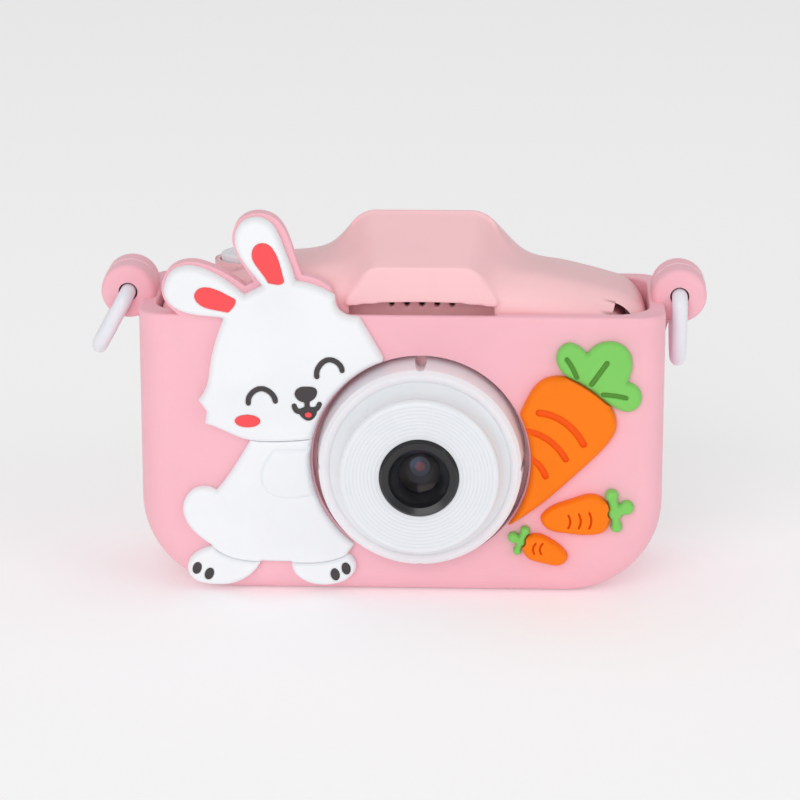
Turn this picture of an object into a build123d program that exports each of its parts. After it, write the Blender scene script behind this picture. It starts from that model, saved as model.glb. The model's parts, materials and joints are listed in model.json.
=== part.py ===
"""Kids digital camera in a soft silicone sleeve with a rabbit and carrots on its front.

Frame: +X to the right seen from the front, +Y to the back, +Z up, millimetres.
The origin is the centre of the sleeve's flat base. The lens looks along -Y.
"""

from build123d import *
from math import atan2, cos, degrees, pi, radians, sin
import os

# ---------------------------------------------------------------- driving dimensions
SLEEVE_WIDTH = 90.0
SLEEVE_DEPTH = 31.0
SLEEVE_HEIGHT = 50.0
SLEEVE_WALL = 2.6
SLEEVE_CORNER = 16.5  # lower corners, seen from the front
SLEEVE_EDGE = 4.5  # rounding of the front and back faces
RIM_ROUND = 0.5
LIP_NOTCH_DEPTH = 1.6
LIP_NOTCH_SKIN = 0.9  # left in front of the notch
SLEEVE_GAP = 0.2  # between the sleeve and the hard case

SHELL_WALL = 1.8
SPLIT_Y = 1.0  # where the front and rear shells meet
SHOULDER_SIDE_RISE = 1.0  # from the sleeve's top to where the sides would meet the curved top
SHOULDER_SIDE_Z = SLEEVE_HEIGHT + SHOULDER_SIDE_RISE
SHOULDER_CROWN = 7.0
SHOULDER_TOP_Z = SHOULDER_SIDE_Z + SHOULDER_CROWN
SHOULDER_CORNER = 7.5
CASE_FRONT_ROUND = 6.5
CASE_REAR_ROUND = 4.0
SHOULDER_FALL = 1.5  # how much lower the curved top is at the back than at the split

# The lens, its hump and the rear lens share one vertical centre plane.
LENS_X = 3.4
LENS_Z = 24.5
LENS_RING_R = 18.0
LENS_RING_TAPER = 1.0
LENS_RING_FRONT_R = LENS_RING_R - LENS_RING_TAPER
LENS_RING_LENGTH = 8.0
LENS_HOLE_GAP = 0.6
LENS_NOTCH_R = 1.0
LENS_REACH = 11.0  # from the sleeve's front face to the tip of the lens
BARREL_R = 13.6
BARREL_FOOT_R = 15.4
BARREL_SPIGOT_R = 9.0
HOOD_R = 6.7
HOOD_MOUTH_R = 5.2
GLASS_R = 3.6
GLASS_SET_BACK = 3.4
IRIS_R = 1.2

# The hump: its front plate, its crest, and its step up at the rear shell.
PLATE_PROUD = 0.6  # of the hump's plate, in front of the case
PLATE_Y = SLEEVE_WALL + SLEEVE_GAP - SLEEVE_DEPTH / 2 - PLATE_PROUD
PLATE_HALF_WIDTH = 13.5
PLATE_TOP_HALF_WIDTH = 9.6
PLATE_RISE = 0.9  # from the sleeve's top to the plate
PLATE_BASE_Z = SLEEVE_HEIGHT + PLATE_RISE
PLATE_HEIGHT = 7.0
PLATE_TOP_Z = PLATE_BASE_Z + PLATE_HEIGHT
PLATE_ARCH = 1.0
PLATE_ROUND = 4.6  # rounding of the plate's upper corners
PLATE_CORNER = 0.7  # rounding of the plate's lower corners
CREST_Y = 1.0
CREST_RISE = 6.4  # from the plate's top to the hump's crest
CREST_Z = PLATE_TOP_Z + CREST_RISE
CREST_HALF_WIDTH = 10.2
HUMP_FOOT_HALF_WIDTH = 21.5
HUMP_FOOT_Z = SHOULDER_SIDE_Z
HUMP_ROUND = 5.0
REAR_HUMP_STEP = 0.4
REAR_HUMP_ROUND = 2.5
REAR_HUMP_FALL = 3.2  # how much lower the hump is at the back than at its crest
STRAP_SLOT_R = 4.6  # of the slot's centre line round the corner's centre
STRAP_SLOT_WIDTH = 1.7
STRAP_SLOT_ANGLES = (8, 72)
RECESS_DEPTH = 3.4
RECESS_HALF_WIDTH = 12.4
RECESS_DROP = 4.5  # from the sleeve's top to the recess's floor
RECESS_FLOOR_Z = SLEEVE_HEIGHT - RECESS_DROP
SOUND_HOLE_R = 0.55
SOUND_HOLE_PITCH = 2.6
SOUND_HOLE_COUNT = 5
SOUND_HOLE_DROP = 0.3  # from the plate to the sound holes' centres
SOUND_HOLE_Z = PLATE_BASE_Z - SOUND_HOLE_DROP

# Strap loops on the sleeve and the D-shaped rings in them.
LOOP_OUT = 2.6  # from the sleeve's side to the loop's centre
LOOP_X = SLEEVE_WIDTH / 2 + LOOP_OUT
LOOP_RISE = 1.0  # from the sleeve's top to the loop's centre
LOOP_Z = SLEEVE_HEIGHT + LOOP_RISE
LOOP_R = 4.7
LOOP_LENGTH = 9.5
LOOP_ROUND = 1.0
RING_WIRE_R = 1.35
RING_PLAY = 0.3  # between the wire and the hole in its loop
LOOP_HOLE_R = RING_WIRE_R + RING_PLAY
LOOP_NECK_DROP = 6.8  # from the loop's centre to where its neck leaves the sleeve's side
RING_SIDE_GAP = 0.35
RING_DROP = 12.0  # from the bar's centre to the centre of the wire at the bottom
RING_CORNER_R = 2.0
LEFT_RING_TILT = 28.0  # degrees outward from hanging straight down

# Raised decoration on the sleeve's front.
BODY_RISE = 1.6
HEAD_RISE = 2.4
FOOT_RISE = 1.9
ARM_RISE = 0.6
CARROT_RISE = 1.8
LEAF_RISE = 1.4
INLAY_DEPTH = 0.5
INLAY_PROUD = 0.08
GROOVE_DEPTH = 0.6
LENS_CLEARANCE = 0.9  # between the decoration and the lens ring

# Rear panel.
SCREEN_X = 10.5
SCREEN_Z = 24.5
WINDOW_WIDTH = 46.0
WINDOW_HEIGHT = 36.0
WINDOW_THICKNESS = 1.1
WINDOW_CORNER = 3.0
DISPLAY_WIDTH = 43.0
DISPLAY_HEIGHT = 33.5
DISPLAY_THICKNESS = 2.2
WINDOW_LEDGE = 2.0
REAR_OPENING_SIDE = 8.0  # of the sleeve left at each side of the opening
REAR_OPENING_HALF_WIDTH = SLEEVE_WIDTH / 2 - REAR_OPENING_SIDE
REAR_OPENING_LOW = 6.0
REAR_OPENING_TOP = 5.5  # of the sleeve left above the opening
REAR_OPENING_HIGH = SLEEVE_HEIGHT - REAR_OPENING_TOP
REAR_OPENING_CORNER = 6.0

# Keys. A cap stands proud of its panel, and a flange behind the panel keeps it in.
KEY_GAP = 0.25
KEY_PROUD = 1.0
KEY_TRAVEL = 0.5
KEY_FLANGE = 0.7
KEY_FLANGE_THICKNESS = 0.8
KEY_REST_GAP = 0.15  # between the flange and the inside of the panel
PAD_X = -25.0
PAD_Z = 20.0
PAD_OUTER_R = 9.6
PAD_INNER_R = 5.0
PAD_SPOKE = 2.1  # between two neighbouring arrow keys
ARROW_CORNER = 0.5
OK_R = 3.6
SMALL_KEY_R = 2.6
SMALL_KEY_Z = 37.0
SMALL_KEY_PITCH = 7.5
STEM_R = 0.8

SHUTTER_X = -27.9
SHUTTER_Y = 1.0
SHUTTER_R = 3.9
SHUTTER_FLANGE = 0.6  # how far the flange reaches past the button
SHUTTER_FLANGE_R = SHUTTER_R + SHUTTER_FLANGE
SHUTTER_TRAVEL = 0.8
SHUTTER_COLLAR = 1.1  # how far the collar reaches past the button
SHUTTER_COLLAR_R = SHUTTER_R + SHUTTER_COLLAR
SHUTTER_COLLAR_RISE = 4.8  # from where the case's sides would meet its top
SHUTTER_COLLAR_Z = SHOULDER_SIDE_Z + SHUTTER_COLLAR_RISE
SHUTTER_PROUD = 1.2

# Boards and what is on them.
BOARD_THICKNESS = 1.2
BOARD_FRONT_Y = 5.6
BOARD_LOW = 7.0
BOARD_DROP = 4.0  # from the sleeve's top to the board's top
BOARD_HIGH = SLEEVE_HEIGHT - BOARD_DROP
BOARD_SCREW_R = 0.5
POST_R = 1.5
POST_BORE_R = 0.55
SWITCH_SIDE = 4.0
SWITCH_HEIGHT = 1.9
SWITCH_BORE_R = 1.0
SWITCH_BORE_DEPTH = 1.3
PORT_Y = 4.3
PORT_X = 2.0
USB_X = -5.0
USB_WIDTH = 8.9
USB_THICKNESS = 3.2
USB_LENGTH = 7.3
CARD_X = 9.0
CARD_WIDTH = 11.0
CARD_LENGTH = 15.0
CARD_THICKNESS = 0.9
CARD_TRAVEL = 12.0
SLOT_GAP = 0.25
PORT_WINDOW_WIDTH = 30.0
PORT_WINDOW_DEPTH = 7.4
BATTERY_X = -23.0
BATTERY_Z = 26.0
BATTERY_SIZE = (22.0, 5.0, 30.0)
BATTERY_CORNER = 2.5
SPEAKER_SIZE = (15.0, 3.2, 8.0)
SCREW_INSET = 3.7  # from the case's side to the screws
SCREW_X = SLEEVE_WIDTH / 2 - SLEEVE_WALL - SLEEVE_GAP - SCREW_INSET
SCREW_LOW_Z = 17.0
SCREW_DROP = 9.0  # from the sleeve's top to the upper screws
SCREW_HIGH_Z = SLEEVE_HEIGHT - SCREW_DROP
BOSS_R = 2.2
BOSS_SET_BACK = 3.0  # of the front bosses' ends, inside the rounded front edge
SCREW_R = 0.95
SCREW_HEAD_R = 1.7
SCREW_HEAD_HEIGHT = 1.2
SCREW_BITE = 1.8  # of a screw's tip, past the split
SCREW_GAP = 0.05
FIT_GAP = 0.1
MODULE_SIDE = 10.0
GLASS_LIP = 0.5
GROOVE_SKIN = 0.15

REAR_LENS_RISE = 5.2  # from the sleeve's top to the rear lens's centre
REAR_LENS_Z = SLEEVE_HEIGHT + REAR_LENS_RISE
REAR_LENS_R = 3.8
REAR_LENS_PROUD = 0.9
REAR_GLASS_R = 2.2

# ---------------------------------------------------------------- places worked out from them
FRONT_Y = -SLEEVE_DEPTH / 2
BACK_Y = SLEEVE_DEPTH / 2
CASE_INSET = SLEEVE_WALL + SLEEVE_GAP
CASE_HALF_WIDTH = SLEEVE_WIDTH / 2 - CASE_INSET
CASE_FRONT_Y = FRONT_Y + CASE_INSET
CASE_BACK_Y = BACK_Y - CASE_INSET
CASE_BASE_Z = CASE_INSET
PANEL_INSIDE_Y = CASE_BACK_Y - SHELL_WALL
LENS_TIP_Y = FRONT_Y - LENS_REACH
RING_FRONT_Y = CASE_FRONT_Y - LENS_RING_LENGTH
BOARD_BACK_Y = BOARD_FRONT_Y + BOARD_THICKNESS
KEY_FLANGE_BACK_Y = PANEL_INSIDE_Y - KEY_REST_GAP
KEY_FLANGE_FRONT_Y = KEY_FLANGE_BACK_Y - KEY_FLANGE_THICKNESS
SWITCH_FACE_Y = BOARD_BACK_Y + SWITCH_HEIGHT
STEM_TIP_Y = SWITCH_FACE_Y - (SWITCH_BORE_DEPTH - KEY_TRAVEL) / 2
SCREEN_LEFT = SCREEN_X - WINDOW_WIDTH / 2
RECESS_BACK_Y = CASE_FRONT_Y + RECESS_DEPTH

ARROWS = ("up", "down", "left", "right")
SMALL_KEY_XS = {"photo_video": PAD_X - SMALL_KEY_PITCH, "power": PAD_X, "album": PAD_X + SMALL_KEY_PITCH}
BOARD_LEFT = -35.0
BOARD_RIGHT = 35.0
POST_TOP_Z = BOARD_HIGH - 2.4
POSTS = [(-31.5, 8.8), (-31.5, POST_TOP_Z), (31.0, POST_TOP_Z), (33.8, 12.5)]
WINDOW_SEAT_Y = CASE_BACK_Y - WINDOW_THICKNESS
SCREW_SEAT_Y = CASE_BACK_Y - 1.5
SCREW_TIP_Y = SPLIT_Y - SCREW_BITE
SCREW_LENGTH = SCREW_SEAT_Y - SCREW_TIP_Y
STRAP_CENTRE_Z = SHOULDER_SIDE_Z - 0.65 * SHOULDER_CORNER
STRAP_BLOCK_X = CASE_HALF_WIDTH - SHOULDER_CORNER
SHUTTER_ROOM_TOP_Z = SHUTTER_COLLAR_Z - 2.9
SHUTTER_BOARD_TOP_Z = SHUTTER_ROOM_TOP_Z - 4.2
SHUTTER_TUBE_R = SHUTTER_FLANGE_R + 1.3
GLASS_FRONT_Y = LENS_TIP_Y + GLASS_SET_BACK
IRIS_Y = GLASS_FRONT_Y + 3.4
MODULE_Y = CASE_FRONT_Y + SHELL_WALL + 0.4
REAR_SEAT_Y = CASE_BACK_Y - 4.5
USB_FRONT_Y = BOARD_FRONT_Y - USB_THICKNESS
CARD_SOCKET_FRONT_Y = BOARD_FRONT_Y - 2.6
CARD_Y = (BOARD_FRONT_Y + CARD_SOCKET_FRONT_Y) / 2
CARD_SOCKET_LOW_Z = CASE_BASE_Z + SHELL_WALL + 0.4
BARREL_ROOT_R = BARREL_FOOT_R - 3.0


# ---------------------------------------------------------------- helpers
def slab(face, y_low, y_high):
    """Solid between two depths whose front view, in X and Z, is the given face."""
    return extrude(Plane.XZ.offset(-y_high) * face, amount=y_high - y_low)


def column(face, z_low, z_high):
    """Solid between two heights whose plan, in X and Y, is the given face."""
    return extrude(Plane.XY.offset(z_low) * face, amount=z_high - z_low)


def rod(radius, x, z, y_low, y_high):
    """Round bar along Y."""
    return slab(Pos(x, z) * Circle(radius), y_low, y_high)


def block(x_low, x_high, y_low, y_high, z_low, z_high):
    """Plain block between the given limits."""
    size = (x_high - x_low, y_high - y_low, z_high - z_low)
    centre = ((x_high + x_low) / 2, (y_high + y_low) / 2, (z_high + z_low) / 2)
    return Pos(*centre) * Box(*size)


def outline(start, *strokes):
    """Face bounded by strokes in turn: one further point is a line, several are a smooth curve."""
    edges = []
    here = start
    for stroke in strokes:
        points = [here, *stroke]
        edges.append(Line(*points) if len(points) == 2 else Spline(*points))
        here = points[-1]
    return make_face(edges)


def turned(profile, y_offset=0.0):
    """Solid of revolution about the lens axis. The profile is (radius, depth) points."""
    face = make_face(Polyline(*profile, close=True))
    solid = revolve(face, Axis.Y, 360)
    return Pos(LENS_X, y_offset, LENS_Z) * solid


def lens_clear(face):
    """The face without what the lens ring and its clearance take."""
    return face - Pos(LENS_X, LENS_Z) * Circle(LENS_RING_R + LENS_CLEARANCE)


def bar_along(points, radius):
    """Face of a rounded stroke of that half width along a smooth line through the points."""
    line = Line(*points) if len(points) == 2 else Spline(*points)
    return trace(line, 2 * radius) + [Pos(*p) * Circle(radius) for p in (points[0], points[-1])]


# ---------------------------------------------------------------- outlines of the decoration
def head_outline():
    """Head with both ears, cheek tufts, and a notch beside the hump's front plate."""
    return outline(
        (-30.0, 49.7),
        [(-33.9, 50.1), (-37.6, 51.0), (-39.8, 53.0), (-40.0, 55.4), (-38.6, 57.9), (-35.8, 58.7),
         (-32.2, 57.7), (-29.0, 55.8), (-26.5, 53.8)],
        [(-23.4, 55.4)],
        [(-26.4, 59.2), (-28.0, 63.2), (-27.2, 65.9), (-24.8, 67.2), (-22.2, 66.5), (-19.9, 62.4),
         (-18.3, 58.0), (-17.8, 56.2)],
        [(-14.4, 55.4), (-11.1, 53.7)],
        [(-10.6, 51.4), (-8.8, 50.2)],
        [(-7.0, 50.0)],
        [(-4.9, 46.4), (-2.9, 42.8)],
        [(-4.0, 40.6), (-6.0, 38.0)],
        [(-7.0, 33.0), (-11.0, 29.6), (-16.0, 28.3), (-22.0, 27.9), (-27.0, 28.4), (-31.0, 30.1),
         (-33.5, 31.0)],
        [(-33.2, 33.2)],
        [(-34.6, 35.2)],
        [(-33.0, 38.2), (-32.4, 42.0), (-31.4, 46.0), (-30.0, 49.7)],
    )


def torso_outline():
    """Body with its round tail; its top end lies under the head."""
    return outline(
        (-22.0, 34.0),
        [(-25.8, 28.0), (-28.4, 23.6), (-31.8, 18.9)],
        [(-33.8, 19.6), (-36.2, 18.7), (-37.6, 15.6), (-36.8, 12.8), (-34.7, 10.4), (-32.5, 8.8)],
        [(-29.0, 6.9), (-24.0, 6.2), (-19.0, 6.1), (-13.0, 6.4), (-9.2, 7.7)],
        [(-8.4, 8.8), (-7.6, 10.2)],
        [(-4.0, 14.0)],
        [(-2.0, 24.0)],
        [(-10.0, 34.0)],
        [(-22.0, 34.0)],
    )


def foot_outlines():
    """Both feet, which reach up under the body."""
    left = outline(
        (-32.4, 8.8),
        [(-34.7, 8.0), (-36.5, 6.5), (-36.9, 4.4), (-35.6, 2.6), (-33.0, 1.9), (-30.0, 1.9), (-27.2, 2.9),
         (-25.2, 4.5), (-24.2, 6.3)],
        [(-28.0, 10.0)],
        [(-32.4, 8.8)],
    )
    right = outline(
        (-18.8, 6.1),
        [(-18.5, 4.4), (-16.8, 2.8), (-14.0, 2.0), (-11.0, 2.3), (-8.6, 3.6), (-7.7, 5.4), (-8.2, 6.9),
         (-9.3, 7.8)],
        [(-14.0, 10.0)],
        [(-18.8, 6.1)],
    )
    return left + right


def arm_outline():
    """The near arm, which reaches to the lens."""
    return outline(
        (-21.8, 27.0),
        [(-23.6, 24.4), (-24.3, 21.6), (-23.2, 19.0), (-20.4, 17.7), (-17.0, 17.8), (-12.0, 19.0)],
        [(-10.0, 27.0)],
        [(-21.8, 27.0)],
    )


def ear_inlay_outlines():
    """The coloured inside of each ear."""
    right = outline(
        (-22.3, 56.2),
        [(-24.0, 58.8), (-25.0, 61.2), (-24.2, 62.8), (-22.6, 63.0), (-21.2, 61.6), (-20.2, 58.8),
         (-19.6, 56.5)],
        [(-20.0, 56.1), (-21.0, 56.0), (-22.3, 56.2)],
    )
    left = outline(
        (-29.2, 51.0),
        [(-32.2, 51.6), (-34.2, 52.6), (-34.8, 54.0), (-33.8, 55.2), (-32.0, 55.2), (-29.8, 54.3),
         (-27.9, 53.3)],
        [(-27.9, 52.8), (-28.6, 51.6), (-29.2, 51.0)],
    )
    return left + right


def eye_outlines():
    """Two closed, smiling eyes."""
    left = bar_along([(-25.9, 35.1), (-25.2, 37.0), (-23.7, 37.7), (-22.2, 37.1), (-21.3, 35.5)], 0.42)
    right = bar_along([(-14.2, 39.9), (-13.6, 42.0), (-12.2, 42.9), (-10.7, 42.4), (-9.9, 41.0)], 0.42)
    return left + right


def muzzle_outline():
    """Nose, and the open smiling mouth below it, as one dark patch."""
    nose = outline(
        (-18.0, 36.8),
        [(-17.4, 37.8), (-15.8, 38.1), (-14.3, 37.6), (-14.4, 36.4), (-15.9, 35.4), (-18.0, 36.8)],
    )
    philtrum = bar_along([(-15.9, 36.0), (-15.9, 34.0)], 0.42)
    smile = bar_along([(-18.1, 34.7), (-17.2, 33.7), (-16.0, 34.1), (-14.8, 34.0), (-13.8, 35.0)], 0.42)
    lower_edge = [(-16.6, 32.5), (-15.6, 32.1), (-14.7, 32.6), (-14.3, 34.0)]
    mouth = outline((-17.3, 33.7), lower_edge, [(-17.3, 33.7)])
    return nose + philtrum + smile + mouth


def tongue_outline():
    """The tongue inside the mouth."""
    return Pos(-15.7, 33.1) * Ellipse(0.62, 0.5)


def cheek_outline():
    """The blush on the near cheek."""
    return Pos(-26.1, 31.9) * Ellipse(2.15, 1.1)


def toe_outlines():
    """Two oval pads on each foot."""
    toes = [(-35.2, 5.1, 20), (-33.1, 4.1, 20), (-11.3, 4.2, -12), (-9.4, 5.3, -12)]
    faces = [Pos(x, z) * Rot(0, 0, -lean) * Ellipse(0.75, 1.1) for x, z, lean in toes]
    return Sketch() + faces


def big_carrot_outline():
    """Large carrot, whose tip curls round the lens."""
    return outline(
        (18.2, 12.9),
        [(24.2, 17.1), (31.2, 23.6), (35.2, 27.8), (36.8, 31.0), (35.6, 34.8), (32.0, 38.0), (27.6, 39.8),
         (24.2, 39.2), (21.6, 36.0), (19.4, 30.0), (18.0, 22.0), (18.2, 12.9)],
    )


def big_carrot_grooves():
    """Three curved furrows across the large carrot."""
    first = bar_along([(23.6, 33.7), (26.6, 32.9), (29.2, 31.0), (31.2, 28.2)], 0.6)
    second = bar_along([(20.6, 30.4), (23.6, 29.8), (26.2, 28.1), (28.2, 25.5)], 0.55)
    third = bar_along([(22.2, 25.5), (23.7, 24.3), (24.8, 22.4)], 0.55)
    return [first, second, third]


def big_leaf_outline():
    """Three-lobed leaf of the large carrot; its root end lies on the carrot's edge."""
    return outline(
        (29.3, 39.2),
        [(27.2, 40.8), (26.4, 42.8), (27.0, 44.8), (28.6, 45.7), (30.4, 45.0), (31.7, 43.8)],
        [(33.2, 45.4), (35.6, 46.0), (38.0, 45.1), (39.2, 43.0), (39.1, 40.6), (38.5, 38.8)],
        [(40.3, 38.0), (41.0, 36.2), (40.2, 34.3), (38.4, 33.7), (36.6, 34.3), (35.0, 35.2)],
        [(32.6, 37.2), (29.3, 39.2)],
    )


def leaf_vein_outlines():
    """Three dark veins in the large leaf."""
    first = bar_along([(28.2, 43.0), (29.2, 41.4), (29.9, 39.8)], 0.42)
    second = bar_along([(35.0, 42.4), (32.4, 38.6)], 0.45)
    third = bar_along([(38.3, 36.3), (36.2, 36.7), (34.4, 36.8)], 0.42)
    return [first, second, third]


def medium_carrot_outline():
    """Medium carrot, lying almost level."""
    return outline(
        (24.0, 14.6),
        [(25.4, 16.2), (29.6, 18.0), (33.2, 18.8), (35.4, 17.4), (36.0, 14.8), (35.2, 12.4), (33.0, 11.6),
         (28.6, 11.8), (25.0, 12.8), (24.0, 14.6)],
    )


def medium_carrot_grooves():
    """Three short furrows, longest near the leaf."""
    return [bar_along([(x, 13.0), (x + 0.35, 14.3), (x, 15.4 + 0.25 * n)], 0.16)
            for n, x in enumerate((28.8, 30.6, 32.4))]


def lobed_leaf(centre, lobes):
    """Small leaf: round lobes, each (x, z, radius), joined to a round centre."""
    x, z, r = centre
    face = Pos(x, z) * Circle(r)
    for lobe_x, lobe_z, lobe_r in lobes:
        face += Pos(lobe_x, lobe_z) * Circle(lobe_r)
        face += bar_along([(x, z), (lobe_x, lobe_z)], 0.75 * lobe_r)
    return face


def medium_leaf_outline():
    """Leaf of the medium carrot."""
    return lobed_leaf((36.8, 15.6, 1.3), [(36.2, 18.6, 1.15), (38.8, 16.5, 1.25), (37.1, 13.0, 1.0)])


def small_carrot_outline():
    """Small carrot, pointing down to the right."""
    return outline(
        (21.0, 9.2),
        [(21.6, 10.9), (23.2, 11.6), (25.6, 10.8), (28.0, 9.0), (28.8, 7.4), (27.6, 6.1), (24.8, 6.3),
         (22.0, 7.2), (21.0, 9.2)],
    )


def small_carrot_grooves():
    """Two short furrows near the leaf."""
    return [bar_along([(x + 0.3, 8.2), (x, 9.2), (x + 0.5, 10.2)], 0.14) for x in (22.8, 24.0)]


def small_leaf_outline():
    """Leaf of the small carrot."""
    return lobed_leaf((20.7, 10.2, 0.9), [(21.4, 12.1, 0.85), (19.4, 10.9, 0.95), (20.1, 8.5, 0.75)])


# ---------------------------------------------------------------- the hard case
def shoulder_face(inset=0.0, fall=0.0):
    """Front view of the case without its hump, taken in on all sides, its top lowered by a fall."""
    half = CASE_HALF_WIDTH - inset
    base = CASE_BASE_Z + inset
    side = SHOULDER_SIDE_Z - inset - fall
    crown = ThreePointArc((-half, side), (0, SHOULDER_TOP_Z - inset - fall), (half, side))
    rest = Polyline((half, side), (half, base), (-half, base), (-half, side))
    corners = make_face([crown, rest]).vertices().sort_by(Axis.Y)
    face = fillet(corners[:2], SLEEVE_CORNER - CASE_INSET - inset)
    return fillet(face.vertices().sort_by(Axis.Y)[-2:], SHOULDER_CORNER - inset)


def plate_face(inset=0.0):
    """Front plate of the hump: a rounded trapezium over an arched lower edge."""
    half = PLATE_HALF_WIDTH - inset
    top_half = PLATE_TOP_HALF_WIDTH - inset
    base = PLATE_BASE_Z + inset
    low_edge = ThreePointArc((-half, base), (0, base + PLATE_ARCH), (half, base))
    top = PLATE_TOP_Z - inset
    rest = Polyline((half, base), (top_half, top), (-top_half, top), (-half, base))
    face = make_face([low_edge, rest])
    corners = face.vertices().sort_by(Axis.Y)
    face = fillet(corners[2:], PLATE_ROUND - inset)
    return fillet(face.vertices().sort_by(Axis.Y)[:2], PLATE_CORNER)


def crest_face(inset=0.0):
    """Section of the hump at its crest. Its foot is inside the shoulders."""
    half = HUMP_FOOT_HALF_WIDTH - inset
    top_half = CREST_HALF_WIDTH - inset
    top = CREST_Z - inset
    low_edge = ThreePointArc((-half, HUMP_FOOT_Z), (0, HUMP_FOOT_Z + PLATE_ARCH), (half, HUMP_FOOT_Z))
    rest = Polyline((half, HUMP_FOOT_Z), (top_half, top), (-top_half, top), (-half, HUMP_FOOT_Z))
    face = make_face([low_edge, rest])
    face = fillet(face.vertices().sort_by(Axis.Y)[2:], HUMP_ROUND - inset)
    return fillet(face.vertices().sort_by(Axis.Y)[:2], PLATE_CORNER)


def rear_hump_face(inset=0.0, fall=0.0):
    """Section of the rear shell's hump, a small step outside the crest, its top lowered by a fall."""
    half = HUMP_FOOT_HALF_WIDTH + REAR_HUMP_STEP - inset
    top_half = CREST_HALF_WIDTH + REAR_HUMP_STEP - inset
    top = CREST_Z + REAR_HUMP_STEP - inset - fall
    corners = [(half, HUMP_FOOT_Z), (top_half, top), (-top_half, top), (-half, HUMP_FOOT_Z)]
    face = make_face(Polyline(*corners, close=True))
    return fillet(face.vertices().sort_by(Axis.Y)[2:], HUMP_ROUND + REAR_HUMP_STEP - inset)


def hump_between(front, y_front, crest, y_crest):
    """Solid that widens and rises from one front view to another, on the lens's centre plane."""
    low = Plane.XZ.offset(-y_front) * front
    high = Plane.XZ.offset(-y_crest) * crest
    return Pos(LENS_X, 0, 0) * loft([low, high])


def shoulders(inset=0.0):
    """Body of the case without its hump: straight in front of the split, with a falling top behind it."""
    y_front, y_back = CASE_FRONT_Y + inset, CASE_BACK_Y - inset
    front = slab(shoulder_face(inset), y_front, SPLIT_Y)
    back = loft([Plane.XZ.offset(-SPLIT_Y) * shoulder_face(inset),
                 Plane.XZ.offset(-y_back) * shoulder_face(inset, SHOULDER_FALL)])
    body = rounded(front + back, y_front, CASE_FRONT_ROUND - inset)
    return rounded(body, y_back, CASE_REAR_ROUND - inset)


def humps(inset=0.0):
    """The hump's two halves, in front of its crest and behind it."""
    y_back = CASE_BACK_Y - inset
    front = hump_between(plate_face(inset), PLATE_Y + inset, crest_face(inset), CREST_Y)
    back = hump_between(rear_hump_face(inset), CREST_Y, rear_hump_face(inset, REAR_HUMP_FALL), y_back)
    return front, rounded(back, y_back, REAR_HUMP_ROUND, HUMP_FOOT_Z + 1) if inset == 0 else back


def case_outside():
    """Outer form of the hard case."""
    front, back = humps()
    return shoulders() + front + back


def rounded(body, y, radius, above=-1.0):
    """The body with the edges of its face at that depth rounded, above a height."""
    rim = [edge for edge in body.edges() if abs(edge.center().Y - y) < 0.01 and edge.center().Z > above]
    return fillet(rim, radius)


def case_inside():
    """Hollow of the hard case, one wall in from its outside."""
    front, back = humps(SHELL_WALL)
    return shoulders(SHELL_WALL) + front + back


def strap_slot(side):
    """Curved slot through the case's upper corner, inside the strap bar."""
    centre_x = side * (CASE_HALF_WIDTH - SHOULDER_CORNER)
    start, end = (radians(angle) for angle in STRAP_SLOT_ANGLES)
    middle = (start + end) / 2
    points = [(centre_x + side * STRAP_SLOT_R * cos(a), STRAP_CENTRE_Z + STRAP_SLOT_R * sin(a))
              for a in (start, middle, end)]
    face = trace(ThreePointArc(*points), STRAP_SLOT_WIDTH)
    return slab(face, CASE_FRONT_Y - 1, CASE_BACK_Y + 1)


def recess():
    """Opening under the hump's plate, with the sound holes at its back."""
    half = PLATE_HALF_WIDTH
    ceiling = ThreePointArc((-half, PLATE_BASE_Z), (0, PLATE_BASE_Z + PLATE_ARCH), (half, PLATE_BASE_Z))
    below = Polyline((half, PLATE_BASE_Z), (half, RECESS_FLOOR_Z), (-half, RECESS_FLOOR_Z),
                     (-half, PLATE_BASE_Z))
    opening = make_face([ceiling, below]) & Rectangle(2 * RECESS_HALF_WIDTH, 200)
    room = slab(Pos(LENS_X, 0) * opening, PLATE_Y - 1, RECESS_BACK_Y)
    first = LENS_X - SOUND_HOLE_PITCH * (SOUND_HOLE_COUNT - 1) / 2
    holes = [rod(SOUND_HOLE_R, first + n * SOUND_HOLE_PITCH, SOUND_HOLE_Z, RECESS_BACK_Y - 0.5,
                 RECESS_BACK_Y + 2 * SHELL_WALL) for n in range(SOUND_HOLE_COUNT)]
    return [room, *holes]


def recess_wall():
    """Solid wall kept round the recess, inside the case."""
    wall = 0.9 * SHELL_WALL
    return block(LENS_X - RECESS_HALF_WIDTH - wall, LENS_X + RECESS_HALF_WIDTH + wall, PLATE_Y,
                 RECESS_BACK_Y + wall, RECESS_FLOOR_Z - wall, PLATE_BASE_Z + PLATE_ARCH + wall)


def rear_lens_seat():
    """Solid round the rear lens, joined to the inside of the hump."""
    return rod(REAR_LENS_R + 1.2, LENS_X, REAR_LENS_Z, REAR_SEAT_Y, CASE_BACK_Y - 0.5)


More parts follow.
